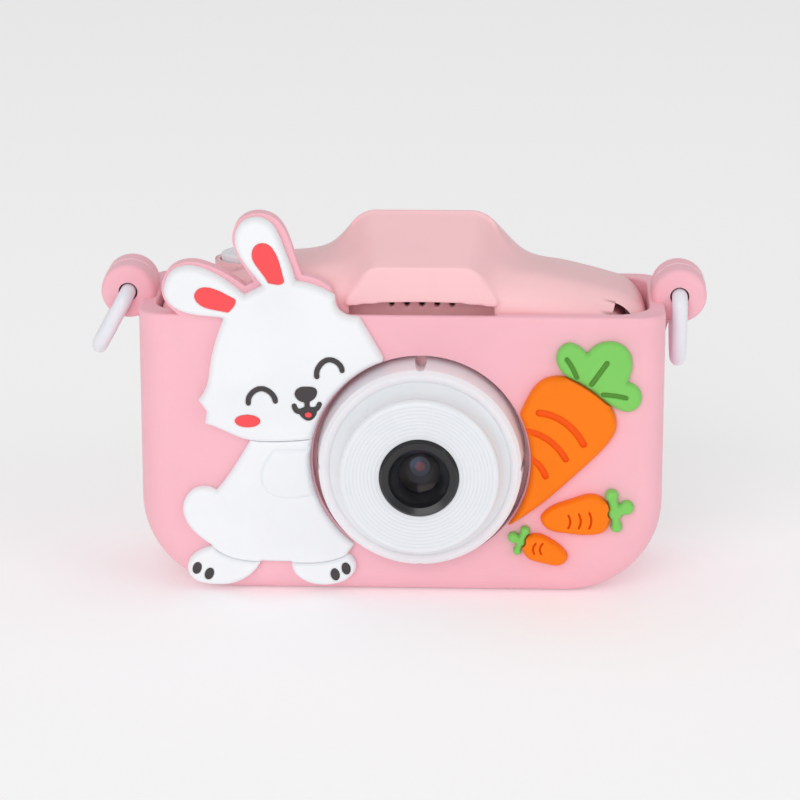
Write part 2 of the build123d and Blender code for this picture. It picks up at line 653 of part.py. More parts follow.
def case():
    """The whole hard case, before it is split into its two shells."""
    corners = [block(min(s * STRAP_BLOCK_X, s * CASE_HALF_WIDTH), max(s * STRAP_BLOCK_X, s * CASE_HALF_WIDTH),
                     CASE_FRONT_Y, CASE_BACK_Y, STRAP_CENTRE_Z - 1, SLEEVE_HEIGHT + 6) for s in (-1, 1)]
    hollow = case_inside() - [recess_wall(), *corners]
    walls = case_outside() - hollow
    at = Pos(SHUTTER_X, SHUTTER_Y)
    walls += column(at * Circle(SHUTTER_COLLAR_R), SHUTTER_ROOM_TOP_Z, SHUTTER_COLLAR_Z)
    walls += column(at * Circle(SHUTTER_TUBE_R), SHUTTER_BOARD_TOP_Z, SHUTTER_ROOM_TOP_Z + 1)
    walls += rear_lens_seat()
    walls += [rod(BOSS_R, side * SCREW_X, z, CASE_FRONT_Y + BOSS_SET_BACK, CASE_BACK_Y - 1)
              for side in (-1, 1) for z in (SCREW_LOW_Z, SCREW_HIGH_Z)]
    walls += [rod(POST_R, x, z, BOARD_BACK_Y, CASE_BACK_Y - 1) for x, z in POSTS]
    walls -= recess()
    walls -= [strap_slot(-1), strap_slot(1)]
    walls -= shutter_opening()
    return walls


def shutter_opening():
    """Bore for the shutter button, room for its flange, and a flat above the collar."""
    at = Pos(SHUTTER_X, SHUTTER_Y)
    spot = column(at * Circle(SHUTTER_COLLAR_R + 0.6), SHUTTER_COLLAR_Z, SHUTTER_COLLAR_Z + 6)
    bore = column(at * Circle(SHUTTER_R + KEY_GAP), SHUTTER_BOARD_TOP_Z - 1, SHUTTER_COLLAR_Z + 1)
    room = column(at * Circle(SHUTTER_FLANGE_R + 0.3), SHUTTER_BOARD_TOP_Z - 1, SHUTTER_ROOM_TOP_Z)
    return [spot, bore, room]


def screw_holes():
    """Clearance for the shell screws and, in the rear shell, for their heads."""
    holes = []
    for side in (-1, 1):
        for z in (SCREW_LOW_Z, SCREW_HIGH_Z):
            x = side * SCREW_X
            holes.append(rod(SCREW_R + SCREW_GAP, x, z, SCREW_TIP_Y - 0.5, CASE_BACK_Y + 1))
            holes.append(rod(SCREW_HEAD_R + 0.2, x, z, SCREW_SEAT_Y, CASE_BACK_Y + 1))
    return holes


def front_shell(walls):
    """Front half of the case, with the opening for the lens."""
    half = walls - block(-60, 60, SPLIT_Y, 40, -10, 90)
    half -= screw_holes()
    return half - rod(BARREL_SPIGOT_R + FIT_GAP, LENS_X, LENS_Z, CASE_FRONT_Y - 1, CASE_FRONT_Y + 4)


def rear_shell(walls):
    """Rear half of the case, with openings for the keys, the screen, the ports and the rear lens."""
    half = walls - block(-60, 60, -40, SPLIT_Y, -10, 90)
    half -= screw_holes()
    half -= [slab(key_hole, PANEL_INSIDE_Y - 1, CASE_BACK_Y + 1) for key_hole in key_holes()]
    half -= slab(window_face(0.1), WINDOW_SEAT_Y, CASE_BACK_Y + 1)
    half -= slab(window_face(-WINDOW_LEDGE), PANEL_INSIDE_Y - 1, CASE_BACK_Y)
    half -= [rod(POST_BORE_R, x, z, BOARD_BACK_Y - 1, BOARD_BACK_Y + 4) for x, z in POSTS]
    half -= block(USB_X - USB_WIDTH / 2 - SLOT_GAP, USB_X + USB_WIDTH / 2 + SLOT_GAP,
                  USB_FRONT_Y - SLOT_GAP, BOARD_FRONT_Y + SLOT_GAP, CASE_BASE_Z - 1, CASE_BASE_Z + 3)
    half -= block(CARD_X - CARD_WIDTH / 2 - SLOT_GAP, CARD_X + CARD_WIDTH / 2 + SLOT_GAP,
                  CARD_Y - CARD_THICKNESS / 2 - SLOT_GAP, CARD_Y + CARD_THICKNESS / 2 + SLOT_GAP,
                  CASE_BASE_Z - 1, CASE_BASE_Z + 3)
    half -= rod(REAR_LENS_R + FIT_GAP, LENS_X, REAR_LENS_Z, CASE_BACK_Y - 2.5, CASE_BACK_Y + 1)
    return half - rod(REAR_LENS_R - 1.0, LENS_X, REAR_LENS_Z, REAR_SEAT_Y - 1, CASE_BACK_Y)


# ---------------------------------------------------------------- the soft sleeve
def sleeve_face(inset=0.0, top=SLEEVE_HEIGHT):
    """Front view of the sleeve, taken in at the sides and base."""
    half = SLEEVE_WIDTH / 2 - inset
    face = make_face(Polyline((-half, top), (-half, inset), (half, inset), (half, top), close=True))
    return fillet(face.vertices().sort_by(Axis.Y)[:2], SLEEVE_CORNER - inset)


def sleeve_cup():
    """Open-topped cup that grips the case, with rounded edges and a rounded rim."""
    cup = slab(sleeve_face(), FRONT_Y, BACK_Y)
    long_edges = [e for e in cup.edges()
                  if abs(abs(e.center().Y) - BACK_Y) < 0.01 and e.center().Z < SLEEVE_HEIGHT - 1]
    cup = fillet(long_edges, SLEEVE_EDGE)
    room = slab(sleeve_face(SLEEVE_WALL, SLEEVE_HEIGHT + 5), FRONT_Y + SLEEVE_WALL, BACK_Y - SLEEVE_WALL)
    for y, radius in ((FRONT_Y + SLEEVE_WALL, CASE_FRONT_ROUND), (BACK_Y - SLEEVE_WALL, CASE_REAR_ROUND)):
        long_edges = [e for e in room.edges()
                      if abs(e.center().Y - y) < 0.01 and e.center().Z < SLEEVE_HEIGHT + 4]
        room = fillet(long_edges, radius)
    cup -= room
    rim = [e for e in cup.edges() if abs(e.center().Z - SLEEVE_HEIGHT) < 0.01]
    return fillet(rim, RIM_ROUND)


def sound_notch():
    """Shallow hollow in the lip's inner half, which keeps the opening under the hump clear."""
    floor = SLEEVE_HEIGHT - LIP_NOTCH_DEPTH
    face = Pos(LENS_X, floor + LIP_NOTCH_DEPTH) * RectangleRounded(
        2 * RECESS_HALF_WIDTH + 1, 2 * LIP_NOTCH_DEPTH, LIP_NOTCH_DEPTH / 2)
    return slab(face, FRONT_Y + LIP_NOTCH_SKIN, CASE_FRONT_Y + 1)


def strap_loop(side):
    """Round eye for a ring, with a neck that runs down into the sleeve's side wall."""
    x = side * LOOP_X
    wall_x = side * (SLEEVE_WIDTH / 2 - SLEEVE_WALL / 2)
    half = LOOP_LENGTH / 2
    eye = rod(LOOP_R, x, LOOP_Z, -half, half)
    rims = [e for e in eye.edges() if abs(abs(e.center().Y) - half) < 0.01]
    eye = fillet(rims, LOOP_ROUND)
    neck = slab(outline(
        (wall_x, LOOP_Z),
        [(wall_x, LOOP_Z - LOOP_NECK_DROP)],
        [(side * SLEEVE_WIDTH / 2, LOOP_Z - LOOP_NECK_DROP),
         (side * (SLEEVE_WIDTH / 2 + 0.45), LOOP_Z - 1.2 * LOOP_R),
         (x + side * 0.07 * LOOP_R, LOOP_Z - 0.9 * LOOP_R)],
        [(x, LOOP_Z)],
        [(wall_x, LOOP_Z)]), -half + LOOP_ROUND / 2, half - LOOP_ROUND / 2)
    return eye + neck


def backing():
    """Sleeve wall behind the ears and the top of the head, a little wider than they are."""
    foot = 48.8
    face = outline(
        (-36.6, foot),
        [(-38.6, 50.6), (-40.3, 52.8), (-40.5, 55.5), (-38.8, 58.2), (-35.7, 59.2), (-31.7, 58.2), (-28.7, 56.6),
         (-26.4, 55.0)],
        [(-24.9, 55.7)],
        [(-27.1, 59.3), (-28.5, 63.2), (-27.5, 66.2), (-24.7, 67.7), (-21.3, 66.9), (-18.7, 62.6), (-17.3, 58.3),
         (-16.8, 57.0)],
        [(-14.1, 56.3), (-12.0, 54.9)],
        [(-11.2, 52.6), (-10.6, 50.6), (-10.5, foot)],
        [(-36.6, foot)],
    )
    return slab(face, FRONT_Y, FRONT_Y + SLEEVE_WALL)


def sleeve():
    """The whole sleeve: cup, loops, backing, and its openings."""
    soft = sleeve_cup() + strap_loop(-1) + strap_loop(1) + backing()
    soft -= [rod(LOOP_HOLE_R, side * LOOP_X, LOOP_Z, -LOOP_LENGTH, LOOP_LENGTH) for side in (-1, 1)]
    soft -= rod(LENS_RING_R + LENS_HOLE_GAP, LENS_X, LENS_Z, FRONT_Y - 1, FRONT_Y + SLEEVE_WALL + 1)
    window = Pos(0, (REAR_OPENING_LOW + REAR_OPENING_HIGH) / 2) * RectangleRounded(
        2 * REAR_OPENING_HALF_WIDTH, REAR_OPENING_HIGH - REAR_OPENING_LOW, REAR_OPENING_CORNER)
    soft -= slab(window, BACK_Y - SLEEVE_WALL - 1, BACK_Y + 1)
    soft -= sound_notch()
    port = Pos(PORT_X, PORT_Y) * RectangleRounded(PORT_WINDOW_WIDTH, PORT_WINDOW_DEPTH, 2.5)
    return soft - column(port, -1, SLEEVE_WALL + 1)


# ---------------------------------------------------------------- the lens
def lens_ring():
    """Outer ring round the lens, tapering forward, with four half-round notches down its side."""
    ring = turned([(BARREL_ROOT_R + FIT_GAP, CASE_FRONT_Y), (LENS_RING_R, CASE_FRONT_Y),
                   (LENS_RING_FRONT_R + 0.3, RING_FRONT_Y + 0.7), (LENS_RING_FRONT_R - 0.4, RING_FRONT_Y),
                   (BARREL_ROOT_R + FIT_GAP, RING_FRONT_Y)])
    taper = degrees(atan2(LENS_RING_R - LENS_RING_FRONT_R, LENS_RING_LENGTH))
    middle_r = (LENS_RING_R + LENS_RING_FRONT_R) / 2 + 0.2
    middle_y = (CASE_FRONT_Y + RING_FRONT_Y) / 2
    for n in range(4):
        tool = Pos(middle_r, middle_y, 0) * Rot(0, 0, taper) * Rot(90, 0, 0) * Cylinder(LENS_NOTCH_R, 12)
        ring -= Pos(LENS_X, 0, LENS_Z) * Rot(0, 90 * n, 0) * tool
    return ring


def lens_barrel():
    """White barrel: a hollow-curved foot on the ring, a flat face, and a spigot through the case."""
    face_y = LENS_TIP_Y + 0.8
    edge = 0.8
    foot = RING_FRONT_Y
    profile = [
        Line((HOOD_R + FIT_GAP, face_y), (BARREL_R - edge, face_y)),
        ThreePointArc((BARREL_R - edge, face_y), (BARREL_R - 0.3 * edge, face_y + 0.3 * edge),
                      (BARREL_R, face_y + edge)),
        ThreePointArc((BARREL_R, face_y + edge), (BARREL_R + 0.35, foot - 1.6), (BARREL_FOOT_R, foot)),
        Polyline((BARREL_FOOT_R, foot), (BARREL_ROOT_R, foot), (BARREL_ROOT_R, foot + 4),
                 (BARREL_SPIGOT_R, foot + 4),
                 (BARREL_SPIGOT_R, CASE_FRONT_Y + SHELL_WALL), (HOOD_R + FIT_GAP, CASE_FRONT_Y + SHELL_WALL),
                 (HOOD_R + FIT_GAP, face_y)),
    ]
    return Pos(LENS_X, 0, LENS_Z) * revolve(make_face(profile), Axis.Y, 360)


def lens_hood():
    """Black ring whose mouth narrows to the glass."""
    return turned([(HOOD_R, LENS_TIP_Y + 0.4), (HOOD_R - 0.4, LENS_TIP_Y), (HOOD_MOUTH_R, LENS_TIP_Y + 0.3),
                   (GLASS_R, GLASS_FRONT_Y), (GLASS_R, GLASS_FRONT_Y + 0.5),
                   (GLASS_R + GLASS_LIP, GLASS_FRONT_Y + 0.5),
                   (GLASS_R + GLASS_LIP, CASE_FRONT_Y), (HOOD_R, CASE_FRONT_Y)])


def dome(radius, x, z, edge_y, tip_y):
    """Disc along Y whose outer face is part of a sphere, from its rim's depth out to its tip's."""
    rise = abs(tip_y - edge_y)
    ball_r = (radius**2 + rise**2) / (2 * rise)
    towards = 1 if tip_y > edge_y else -1
    ball = Pos(x, tip_y - towards * ball_r, z) * Sphere(ball_r)
    return rod(radius, x, z, min(edge_y, tip_y), max(edge_y, tip_y)) & ball


def lens_glass():
    """Front element: a disc behind the hood's lip with a domed face in its mouth."""
    y = GLASS_FRONT_Y + 0.5
    disc = rod(GLASS_R + GLASS_LIP - FIT_GAP, LENS_X, LENS_Z, y, y + 1.2)
    return disc + dome(GLASS_R - FIT_GAP, LENS_X, LENS_Z, y, y - 1.1)


def camera_module():
    """Sensor housing behind the glass, with a conical well down to the iris."""
    front = GLASS_FRONT_Y + 1.7
    tube = turned([(IRIS_R, IRIS_Y), (GLASS_R - 0.2, front), (GLASS_R + GLASS_LIP - FIT_GAP, front),
                   (GLASS_R + GLASS_LIP - FIT_GAP, MODULE_Y), (0, MODULE_Y), (0, IRIS_Y + 0.6),
                    (IRIS_R, IRIS_Y + 0.6)])
    half = MODULE_SIDE / 2
    return tube + block(LENS_X - half, LENS_X + half, MODULE_Y, MODULE_Y + 4, LENS_Z - half, LENS_Z + half)


def lens_iris():
    """Tinted inner element at the bottom of the well."""
    return rod(IRIS_R, LENS_X, LENS_Z, IRIS_Y, IRIS_Y + 0.6)


def rear_lens_parts():
    """Ring, glass and sensor housing of the lens in the back of the hump."""
    seat = CASE_BACK_Y - 2.5
    at = Pos(LENS_X, 0, REAR_LENS_Z)
    ring = make_face(Polyline((REAR_GLASS_R, seat), (REAR_LENS_R, seat),
                              (REAR_LENS_R, CASE_BACK_Y + REAR_LENS_PROUD - 0.3),
                              (REAR_LENS_R - 0.3, CASE_BACK_Y + REAR_LENS_PROUD),
                              (REAR_GLASS_R + 0.5, CASE_BACK_Y + REAR_LENS_PROUD),
                              (REAR_GLASS_R, CASE_BACK_Y + 0.3), close=True))
    glass = rod(REAR_GLASS_R - FIT_GAP, LENS_X, REAR_LENS_Z, seat, CASE_BACK_Y - 0.6)
    glass += dome(REAR_GLASS_R - FIT_GAP, LENS_X, REAR_LENS_Z, CASE_BACK_Y - 0.6, CASE_BACK_Y - 0.1)
    module = rod(REAR_LENS_R - 1.0 - FIT_GAP, LENS_X, REAR_LENS_Z, REAR_SEAT_Y - 1.5, seat)
    return at * revolve(ring, Axis.Y, 360), glass, module


# ---------------------------------------------------------------- rings
def strap_ring(side, tilt=0.0):
    """D-shaped ring: straight bar through the loop, rounded corners, round bottom."""
    half = LOOP_LENGTH / 2 + RING_SIDE_GAP + RING_WIRE_R
    corner = RING_CORNER_R
    low = half - RING_DROP
    turn = corner * (1 - cos(pi / 4))
    path = Wire([
        Line((0, half - corner, 0), (0, corner - half, 0)),
        ThreePointArc((0, corner - half, 0), (0, turn - half, -turn), (0, -half, -corner)),
        Line((0, -half, -corner), (0, -half, low)),
        ThreePointArc((0, -half, low), (0, 0, -RING_DROP), (0, half, low)),
        Line((0, half, low), (0, half, -corner)),
        ThreePointArc((0, half, -corner), (0, half - turn, -turn), (0, half - corner, 0)),
    ])
    section = Plane(origin=(0, 0, 0), z_dir=(0, -1, 0)) * Circle(RING_WIRE_R)
    ring = sweep(section, path=path)
    return Pos(side * LOOP_X, 0, LOOP_Z) * Rot(0, -side * tilt, 0) * ring


# ---------------------------------------------------------------- keys
def arrow_face(which, grown=0.0, inner_grown=None):
    """Sector of the pad's ring that one arrow key covers."""
    inner_grown = grown if inner_grown is None else inner_grown
    ring = Circle(PAD_OUTER_R + grown) - Circle(PAD_INNER_R - inner_grown)
    for angle in (45, -45):
        ring -= Rot(0, 0, angle) * Rectangle(3 * PAD_OUTER_R, PAD_SPOKE - 2 * grown)
    order = {"up": (Axis.Y, -1), "down": (Axis.Y, 0), "left": (Axis.X, 0), "right": (Axis.X, -1)}
    axis, index = order[which]
    face = Sketch() + ring.faces().sort_by(axis)[index]
    return Pos(PAD_X, PAD_Z) * fillet(face.vertices(), ARROW_CORNER)


def key_holes():
    """Openings in the rear panel for every key, each a little larger than its cap."""
    faces = [arrow_face(which, KEY_GAP) for which in ARROWS]
    faces.append(Pos(PAD_X, PAD_Z) * Circle(OK_R + KEY_GAP))
    faces += [Pos(x, SMALL_KEY_Z) * Circle(SMALL_KEY_R + KEY_GAP) for x in SMALL_KEY_XS.values()]
    return faces


def rear_key(cap, flange, x, z):
    """Key cap through the panel, with a flange behind it and a stem to its switch."""
    body = slab(cap, KEY_FLANGE_BACK_Y, CASE_BACK_Y + KEY_PROUD)
    rim = [e for e in body.edges() if abs(e.center().Y - CASE_BACK_Y - KEY_PROUD) < 0.01]
    body = fillet(rim, 0.35)
    body += slab(flange, KEY_FLANGE_FRONT_Y, KEY_FLANGE_BACK_Y)
    return body + rod(STEM_R, x, z, STEM_TIP_Y, KEY_FLANGE_FRONT_Y)


def keys():
    """Every key on the rear panel, by node name."""
    made = {}
    for which in ARROWS:
        x, z = switch_places()[which]
        made[which + "_key"] = rear_key(arrow_face(which), arrow_face(which, KEY_FLANGE, 0.1), x, z)
    middle = Pos(PAD_X, PAD_Z)
    made["ok_key"] = rear_key(middle * Circle(OK_R), middle * Circle(OK_R + KEY_FLANGE - 0.1),
                              PAD_X, PAD_Z)
    for name, x in SMALL_KEY_XS.items():
        at = Pos(x, SMALL_KEY_Z)
        made[name + "_key"] = rear_key(at * Circle(SMALL_KEY_R), at * Circle(SMALL_KEY_R + KEY_FLANGE),
                                       x, SMALL_KEY_Z)
    return made


def switch_places():
    """Centre (x, z) of the switch behind every rear key."""
    reach = (PAD_OUTER_R + PAD_INNER_R) / 2
    places = {"up": (PAD_X, PAD_Z + reach), "down": (PAD_X, PAD_Z - reach),
              "left": (PAD_X - reach, PAD_Z), "right": (PAD_X + reach, PAD_Z), "ok": (PAD_X, PAD_Z)}
    places.update({name: (x, SMALL_KEY_Z) for name, x in SMALL_KEY_XS.items()})
    return places


def shutter_button():
    """Round release button, with a flange under the collar and a stem to its switch."""
    at = Pos(SHUTTER_X, SHUTTER_Y)
    flange_top = SHUTTER_ROOM_TOP_Z - KEY_REST_GAP
    body = column(at * Circle(SHUTTER_R), flange_top, SHUTTER_COLLAR_Z + SHUTTER_PROUD)
    rim = body.edges().sort_by(Axis.Z)[-1]
    body = fillet(rim, 0.5)
    body += column(at * Circle(SHUTTER_FLANGE_R), flange_top - KEY_FLANGE_THICKNESS, flange_top)
    tip = SHUTTER_BOARD_TOP_Z + SWITCH_HEIGHT - (SWITCH_BORE_DEPTH - SHUTTER_TRAVEL) / 2
    return body + column(at * Circle(STEM_R), tip, flange_top - KEY_FLANGE_THICKNESS)


# ---------------------------------------------------------------- inside
def main_board():
    """Circuit board on the rear shell's posts."""
    size = (BOARD_RIGHT - BOARD_LEFT, BOARD_HIGH - BOARD_LOW)
    centre = Pos((BOARD_RIGHT + BOARD_LEFT) / 2, (BOARD_HIGH + BOARD_LOW) / 2)
    plate = slab(centre * RectangleRounded(*size, 5.0), BOARD_FRONT_Y, BOARD_BACK_Y)
    return plate - [rod(BOARD_SCREW_R + 0.1, x, z, BOARD_FRONT_Y - 1, BOARD_BACK_Y + 1) for x, z in POSTS]


def shutter_board():
    """Small board under the shutter button."""
    size = RectangleRounded(2 * SHUTTER_TUBE_R, 2 * SHUTTER_TUBE_R, 1.5)
    bottom = SHUTTER_BOARD_TOP_Z - BOARD_THICKNESS
    return column(Pos(SHUTTER_X, SHUTTER_Y) * size, bottom, SHUTTER_BOARD_TOP_Z)


def tact_switches():
    """One switch behind every rear key and one under the shutter button, each with a bore for the stem."""
    half = SWITCH_SIDE / 2
    switches = []
    for x, z in switch_places().values():
        body = block(x - half, x + half, BOARD_BACK_Y, SWITCH_FACE_Y, z - half, z + half)
        switches.append(body - rod(SWITCH_BORE_R, x, z, SWITCH_FACE_Y - SWITCH_BORE_DEPTH, SWITCH_FACE_Y + 1))
    low, high = SHUTTER_BOARD_TOP_Z, SHUTTER_BOARD_TOP_Z + SWITCH_HEIGHT
    body = block(SHUTTER_X - half, SHUTTER_X + half, SHUTTER_Y - half, SHUTTER_Y + half, low, high)
    bore = column(Pos(SHUTTER_X, SHUTTER_Y) * Circle(SWITCH_BORE_R), high - SWITCH_BORE_DEPTH, high + 1)
    switches.append(body - bore)
    return Compound(switches)


def screw(x, z, seat_y, direction, radius, head_r, head_height, length):
    """Screw along Y. Its head's inner face is at the seat and its shank points the given way."""
    shank_end = seat_y + direction * length
    head_end = seat_y - direction * head_height
    shank = rod(radius, x, z, min(seat_y, shank_end), max(seat_y, shank_end))
    head = rod(head_r, x, z, min(seat_y, head_end), max(seat_y, head_end))
    socket = slab(Pos(x, z) * (Rectangle(1.1 * head_r, 0.3 * head_r) + Rectangle(0.3 * head_r, 1.1 * head_r)),
                  min(head_end, head_end + direction * 0.5), max(head_end, head_end + direction * 0.5))
    return shank + head - socket


def shell_screws():
    """Four screws that hold the shells together."""
    size = (SCREW_R, SCREW_HEAD_R, SCREW_HEAD_HEIGHT, SCREW_LENGTH)
    return Compound([screw(side * SCREW_X, z, SCREW_SEAT_Y, -1, *size)
                     for side in (-1, 1) for z in (SCREW_LOW_Z, SCREW_HIGH_Z)])


def board_screws():
    """Four screws that hold the main board on its posts."""
    return Compound([screw(x, z, BOARD_FRONT_Y, 1, BOARD_SCREW_R, 1.1, 0.7, 4.5) for x, z in POSTS])


def battery():
    """Flat cell behind the front shell's wall."""
    width, depth, height = BATTERY_SIZE
    front = CASE_FRONT_Y + SHELL_WALL
    cell = block(BATTERY_X - width / 2, BATTERY_X + width / 2, front, front + depth,
                 BATTERY_Z - height / 2, BATTERY_Z + height / 2)
    return fillet(cell.edges().filter_by(Axis.Y), BATTERY_CORNER)


def speaker():
    """Speaker behind the sound holes."""
    width, depth, height = SPEAKER_SIZE
    front = RECESS_BACK_Y + 0.9 * SHELL_WALL
    low = SOUND_HOLE_Z - height / 2
    body = block(LENS_X - width / 2, LENS_X + width / 2, front, front + depth, low, low + height)
    return fillet(body.edges().filter_by(Axis.Y), 2.0)


def usb_socket():
    """Socket for the charging plug, flush inside the base of the case."""
    low = CASE_BASE_Z + 0.3
    at = Pos(USB_X, (USB_FRONT_Y + BOARD_FRONT_Y) / 2)
    shell_face = at * RectangleRounded(USB_WIDTH, USB_THICKNESS, 1.5)
    mouth = at * RectangleRounded(USB_WIDTH - 0.6, USB_THICKNESS - 0.6, 1.25)
    tongue = Pos(USB_X, (USB_FRONT_Y + BOARD_FRONT_Y) / 2) * Rectangle(0.75 * USB_WIDTH, 0.7)
    socket = column(shell_face, low, low + USB_LENGTH) - column(mouth, low - 1, low + USB_LENGTH - 1)
    return socket + column(tongue, low + 0.8, low + USB_LENGTH - 0.5)


def card_socket():
    """Holder for the memory card on the front of the main board."""
    width = CARD_WIDTH + 2 * SLOT_GAP + 1.6
    body = block(CARD_X - width / 2, CARD_X + width / 2, CARD_SOCKET_FRONT_Y, BOARD_FRONT_Y,
                 CARD_SOCKET_LOW_Z, CARD_SOCKET_LOW_Z + CARD_LENGTH)
    slot = block(CARD_X - CARD_WIDTH / 2 - SLOT_GAP, CARD_X + CARD_WIDTH / 2 + SLOT_GAP,
                 CARD_Y - CARD_THICKNESS / 2 - SLOT_GAP, CARD_Y + CARD_THICKNESS / 2 + SLOT_GAP,
                 CARD_SOCKET_LOW_Z - 1, CARD_SOCKET_LOW_Z + CARD_LENGTH - 1)
    return body - slot


def memory_card():
    """Memory card, pushed home."""
    face = outline_card()
    return slab(face, CARD_Y - CARD_THICKNESS / 2, CARD_Y + CARD_THICKNESS / 2)


def outline_card():
    """Card outline with one cut corner."""
    left, right = CARD_X - CARD_WIDTH / 2, CARD_X + CARD_WIDTH / 2
    low = CASE_BASE_Z + 0.2
    high = low + CARD_LENGTH
    corners = [(left, low), (right, low), (right, high - 2), (right - 1.5, high), (left, high)]
    return make_face(Polyline(*corners, close=True))


def window_face(grown=0.0):
    """Outline of the screen window, grown on all sides."""
    return Pos(SCREEN_X, SCREEN_Z) * RectangleRounded(
        WINDOW_WIDTH + 2 * grown, WINDOW_HEIGHT + 2 * grown, WINDOW_CORNER + min(grown, 0))


def display_window():
    """Clear cover over the display, flush with the rear panel."""
    return slab(window_face(), WINDOW_SEAT_Y, CASE_BACK_Y)


def display_panel():
    """Display behind the window."""
    face = Pos(SCREEN_X, SCREEN_Z) * Rectangle(DISPLAY_WIDTH, DISPLAY_HEIGHT)
    return slab(face, PANEL_INSIDE_Y - DISPLAY_THICKNESS, PANEL_INSIDE_Y)


# ---------------------------------------------------------------- raised decoration
def raised(face, rise, base=0.0):
    """Part standing on the sleeve's front face, from one rise to another."""
    return slab(face, FRONT_Y - rise, FRONT_Y - base)


def relief_parts():
    """Rabbit and carrots, by node name. Faces that share a place are cut so that no two overlap."""
    head = lens_clear(head_outline())
    torso = lens_clear(torso_outline()) - head_outline()
    feet = lens_clear(foot_outlines()) - torso_outline()
    arm = lens_clear(arm_outline()) - head_outline()
    ears = ear_inlay_outlines()
    eyes, muzzle, tongue, cheek = eye_outlines(), muzzle_outline(), tongue_outline(), cheek_outline()
    toes = toe_outlines()
    parts = {
        "rabbit_head": raised(head, HEAD_RISE) - raised(ears + eyes + muzzle + cheek, 5, HEAD_RISE - INLAY_DEPTH),
        "rabbit_body": raised(torso, BODY_RISE),
        "rabbit_arm": raised(arm, BODY_RISE + ARM_RISE, BODY_RISE),
        "rabbit_feet": raised(feet, FOOT_RISE, -SLEEVE_EDGE / 3) - [
            sleeve_cup(), raised(toes, 5, FOOT_RISE - INLAY_DEPTH)],
        "ear_inlays": raised(ears, HEAD_RISE + INLAY_PROUD, HEAD_RISE - INLAY_DEPTH),
        "rabbit_eyes": raised(eyes, HEAD_RISE + INLAY_PROUD, HEAD_RISE - INLAY_DEPTH),
        "rabbit_muzzle": raised(muzzle - tongue, HEAD_RISE + INLAY_PROUD, HEAD_RISE - INLAY_DEPTH),
        "rabbit_tongue": raised(tongue, HEAD_RISE + INLAY_PROUD, HEAD_RISE - INLAY_DEPTH),
        "rabbit_cheek": raised(cheek, HEAD_RISE + INLAY_PROUD, HEAD_RISE - INLAY_DEPTH),
        "toe_pads": raised(toes, FOOT_RISE + INLAY_PROUD, FOOT_RISE - INLAY_DEPTH),
    }
    leaf = big_leaf_outline()
    veins = leaf_vein_outlines()
    big_root = lens_clear(big_carrot_outline()) - leaf
    medium_root = medium_carrot_outline() - medium_leaf_outline()
    small_root = small_carrot_outline() - small_leaf_outline()
    big_grooves = [lens_clear(groove) for groove in big_carrot_grooves()]
    grooves = big_grooves + medium_carrot_grooves() + small_carrot_grooves()
    parts["big_carrot"] = raised(big_root, CARROT_RISE) - [
        raised(g, 5, CARROT_RISE - GROOVE_DEPTH) for g in big_grooves]
    parts["medium_carrot"] = raised(medium_root, CARROT_RISE) - [
        raised(g, 5, CARROT_RISE - GROOVE_DEPTH) for g in medium_carrot_grooves()]
    parts["small_carrot"] = raised(small_root, CARROT_RISE) - [
        raised(g, 5, CARROT_RISE - GROOVE_DEPTH) for g in small_carrot_grooves()]
    parts["carrot_grooves"] = Compound([
        raised(g, CARROT_RISE - GROOVE_DEPTH + GROOVE_SKIN, CARROT_RISE - GROOVE_DEPTH) for g in grooves])
    parts["big_leaf"] = raised(leaf, LEAF_RISE) - [raised(v, 5, LEAF_RISE - INLAY_DEPTH) for v in veins]
    parts["leaf_veins"] = Compound([raised(v, LEAF_RISE - 0.1, LEAF_RISE - INLAY_DEPTH) for v in veins])
    parts["medium_leaf"] = raised(medium_leaf_outline(), LEAF_RISE)
    parts["small_leaf"] = raised(small_leaf_outline(), LEAF_RISE)
    return parts


# ---------------------------------------------------------------- everything
def all_parts():
    """Every node of the camera, by name."""
    walls = case()
    rear_ring, rear_glass, rear_module = rear_lens_parts()
    parts = {
        "sleeve": sleeve(),
        "front_shell": front_shell(walls),
        "rear_shell": rear_shell(walls),
        "shell_screws": shell_screws(),
        "lens_ring": lens_ring(),
        "lens_barrel": lens_barrel(),
        "lens_hood": lens_hood(),
        "lens_glass": lens_glass(),
        "lens_iris": lens_iris(),
        "camera_module": camera_module(),
        "rear_lens_ring": rear_ring,
        "rear_lens_glass": rear_glass,
        "rear_camera": rear_module,
        "ring_left": strap_ring(-1, LEFT_RING_TILT),
        "ring_right": strap_ring(1),
        "shutter_button": shutter_button(),
        "shutter_board": shutter_board(),
        "display_window": display_window(),
        "display_panel": display_panel(),
        "main_board": main_board(),
        "board_screws": board_screws(),
        "tact_switches": tact_switches(),
        "battery": battery(),
        "speaker": speaker(),
        "usb_socket": usb_socket(),
        "card_socket": card_socket(),
        "memory_card": memory_card(),
    }
    parts.update(keys())
    parts.update(relief_parts())
    return parts


if __name__ == "__main__":
    os.makedirs("parts", exist_ok=True)
    for name, shape in all_parts().items():
        export_step(shape, f"parts/{name}.step")
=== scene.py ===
"""Visual model of a kids digital camera in a soft sleeve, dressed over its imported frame.

Lengths in the classes are millimetres unless a name says otherwise. The frame has +X to the
right seen from the front, +Y to the back and +Z up, with its origin under the sleeve's base.
"""

from __future__ import annotations

import json
import logging
import math
from dataclasses import dataclass, field
from enum import Enum
from typing import Any, Iterable, Sequence

import bmesh
import bpy
import numpy as np
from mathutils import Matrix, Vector
from mathutils.kdtree import KDTree

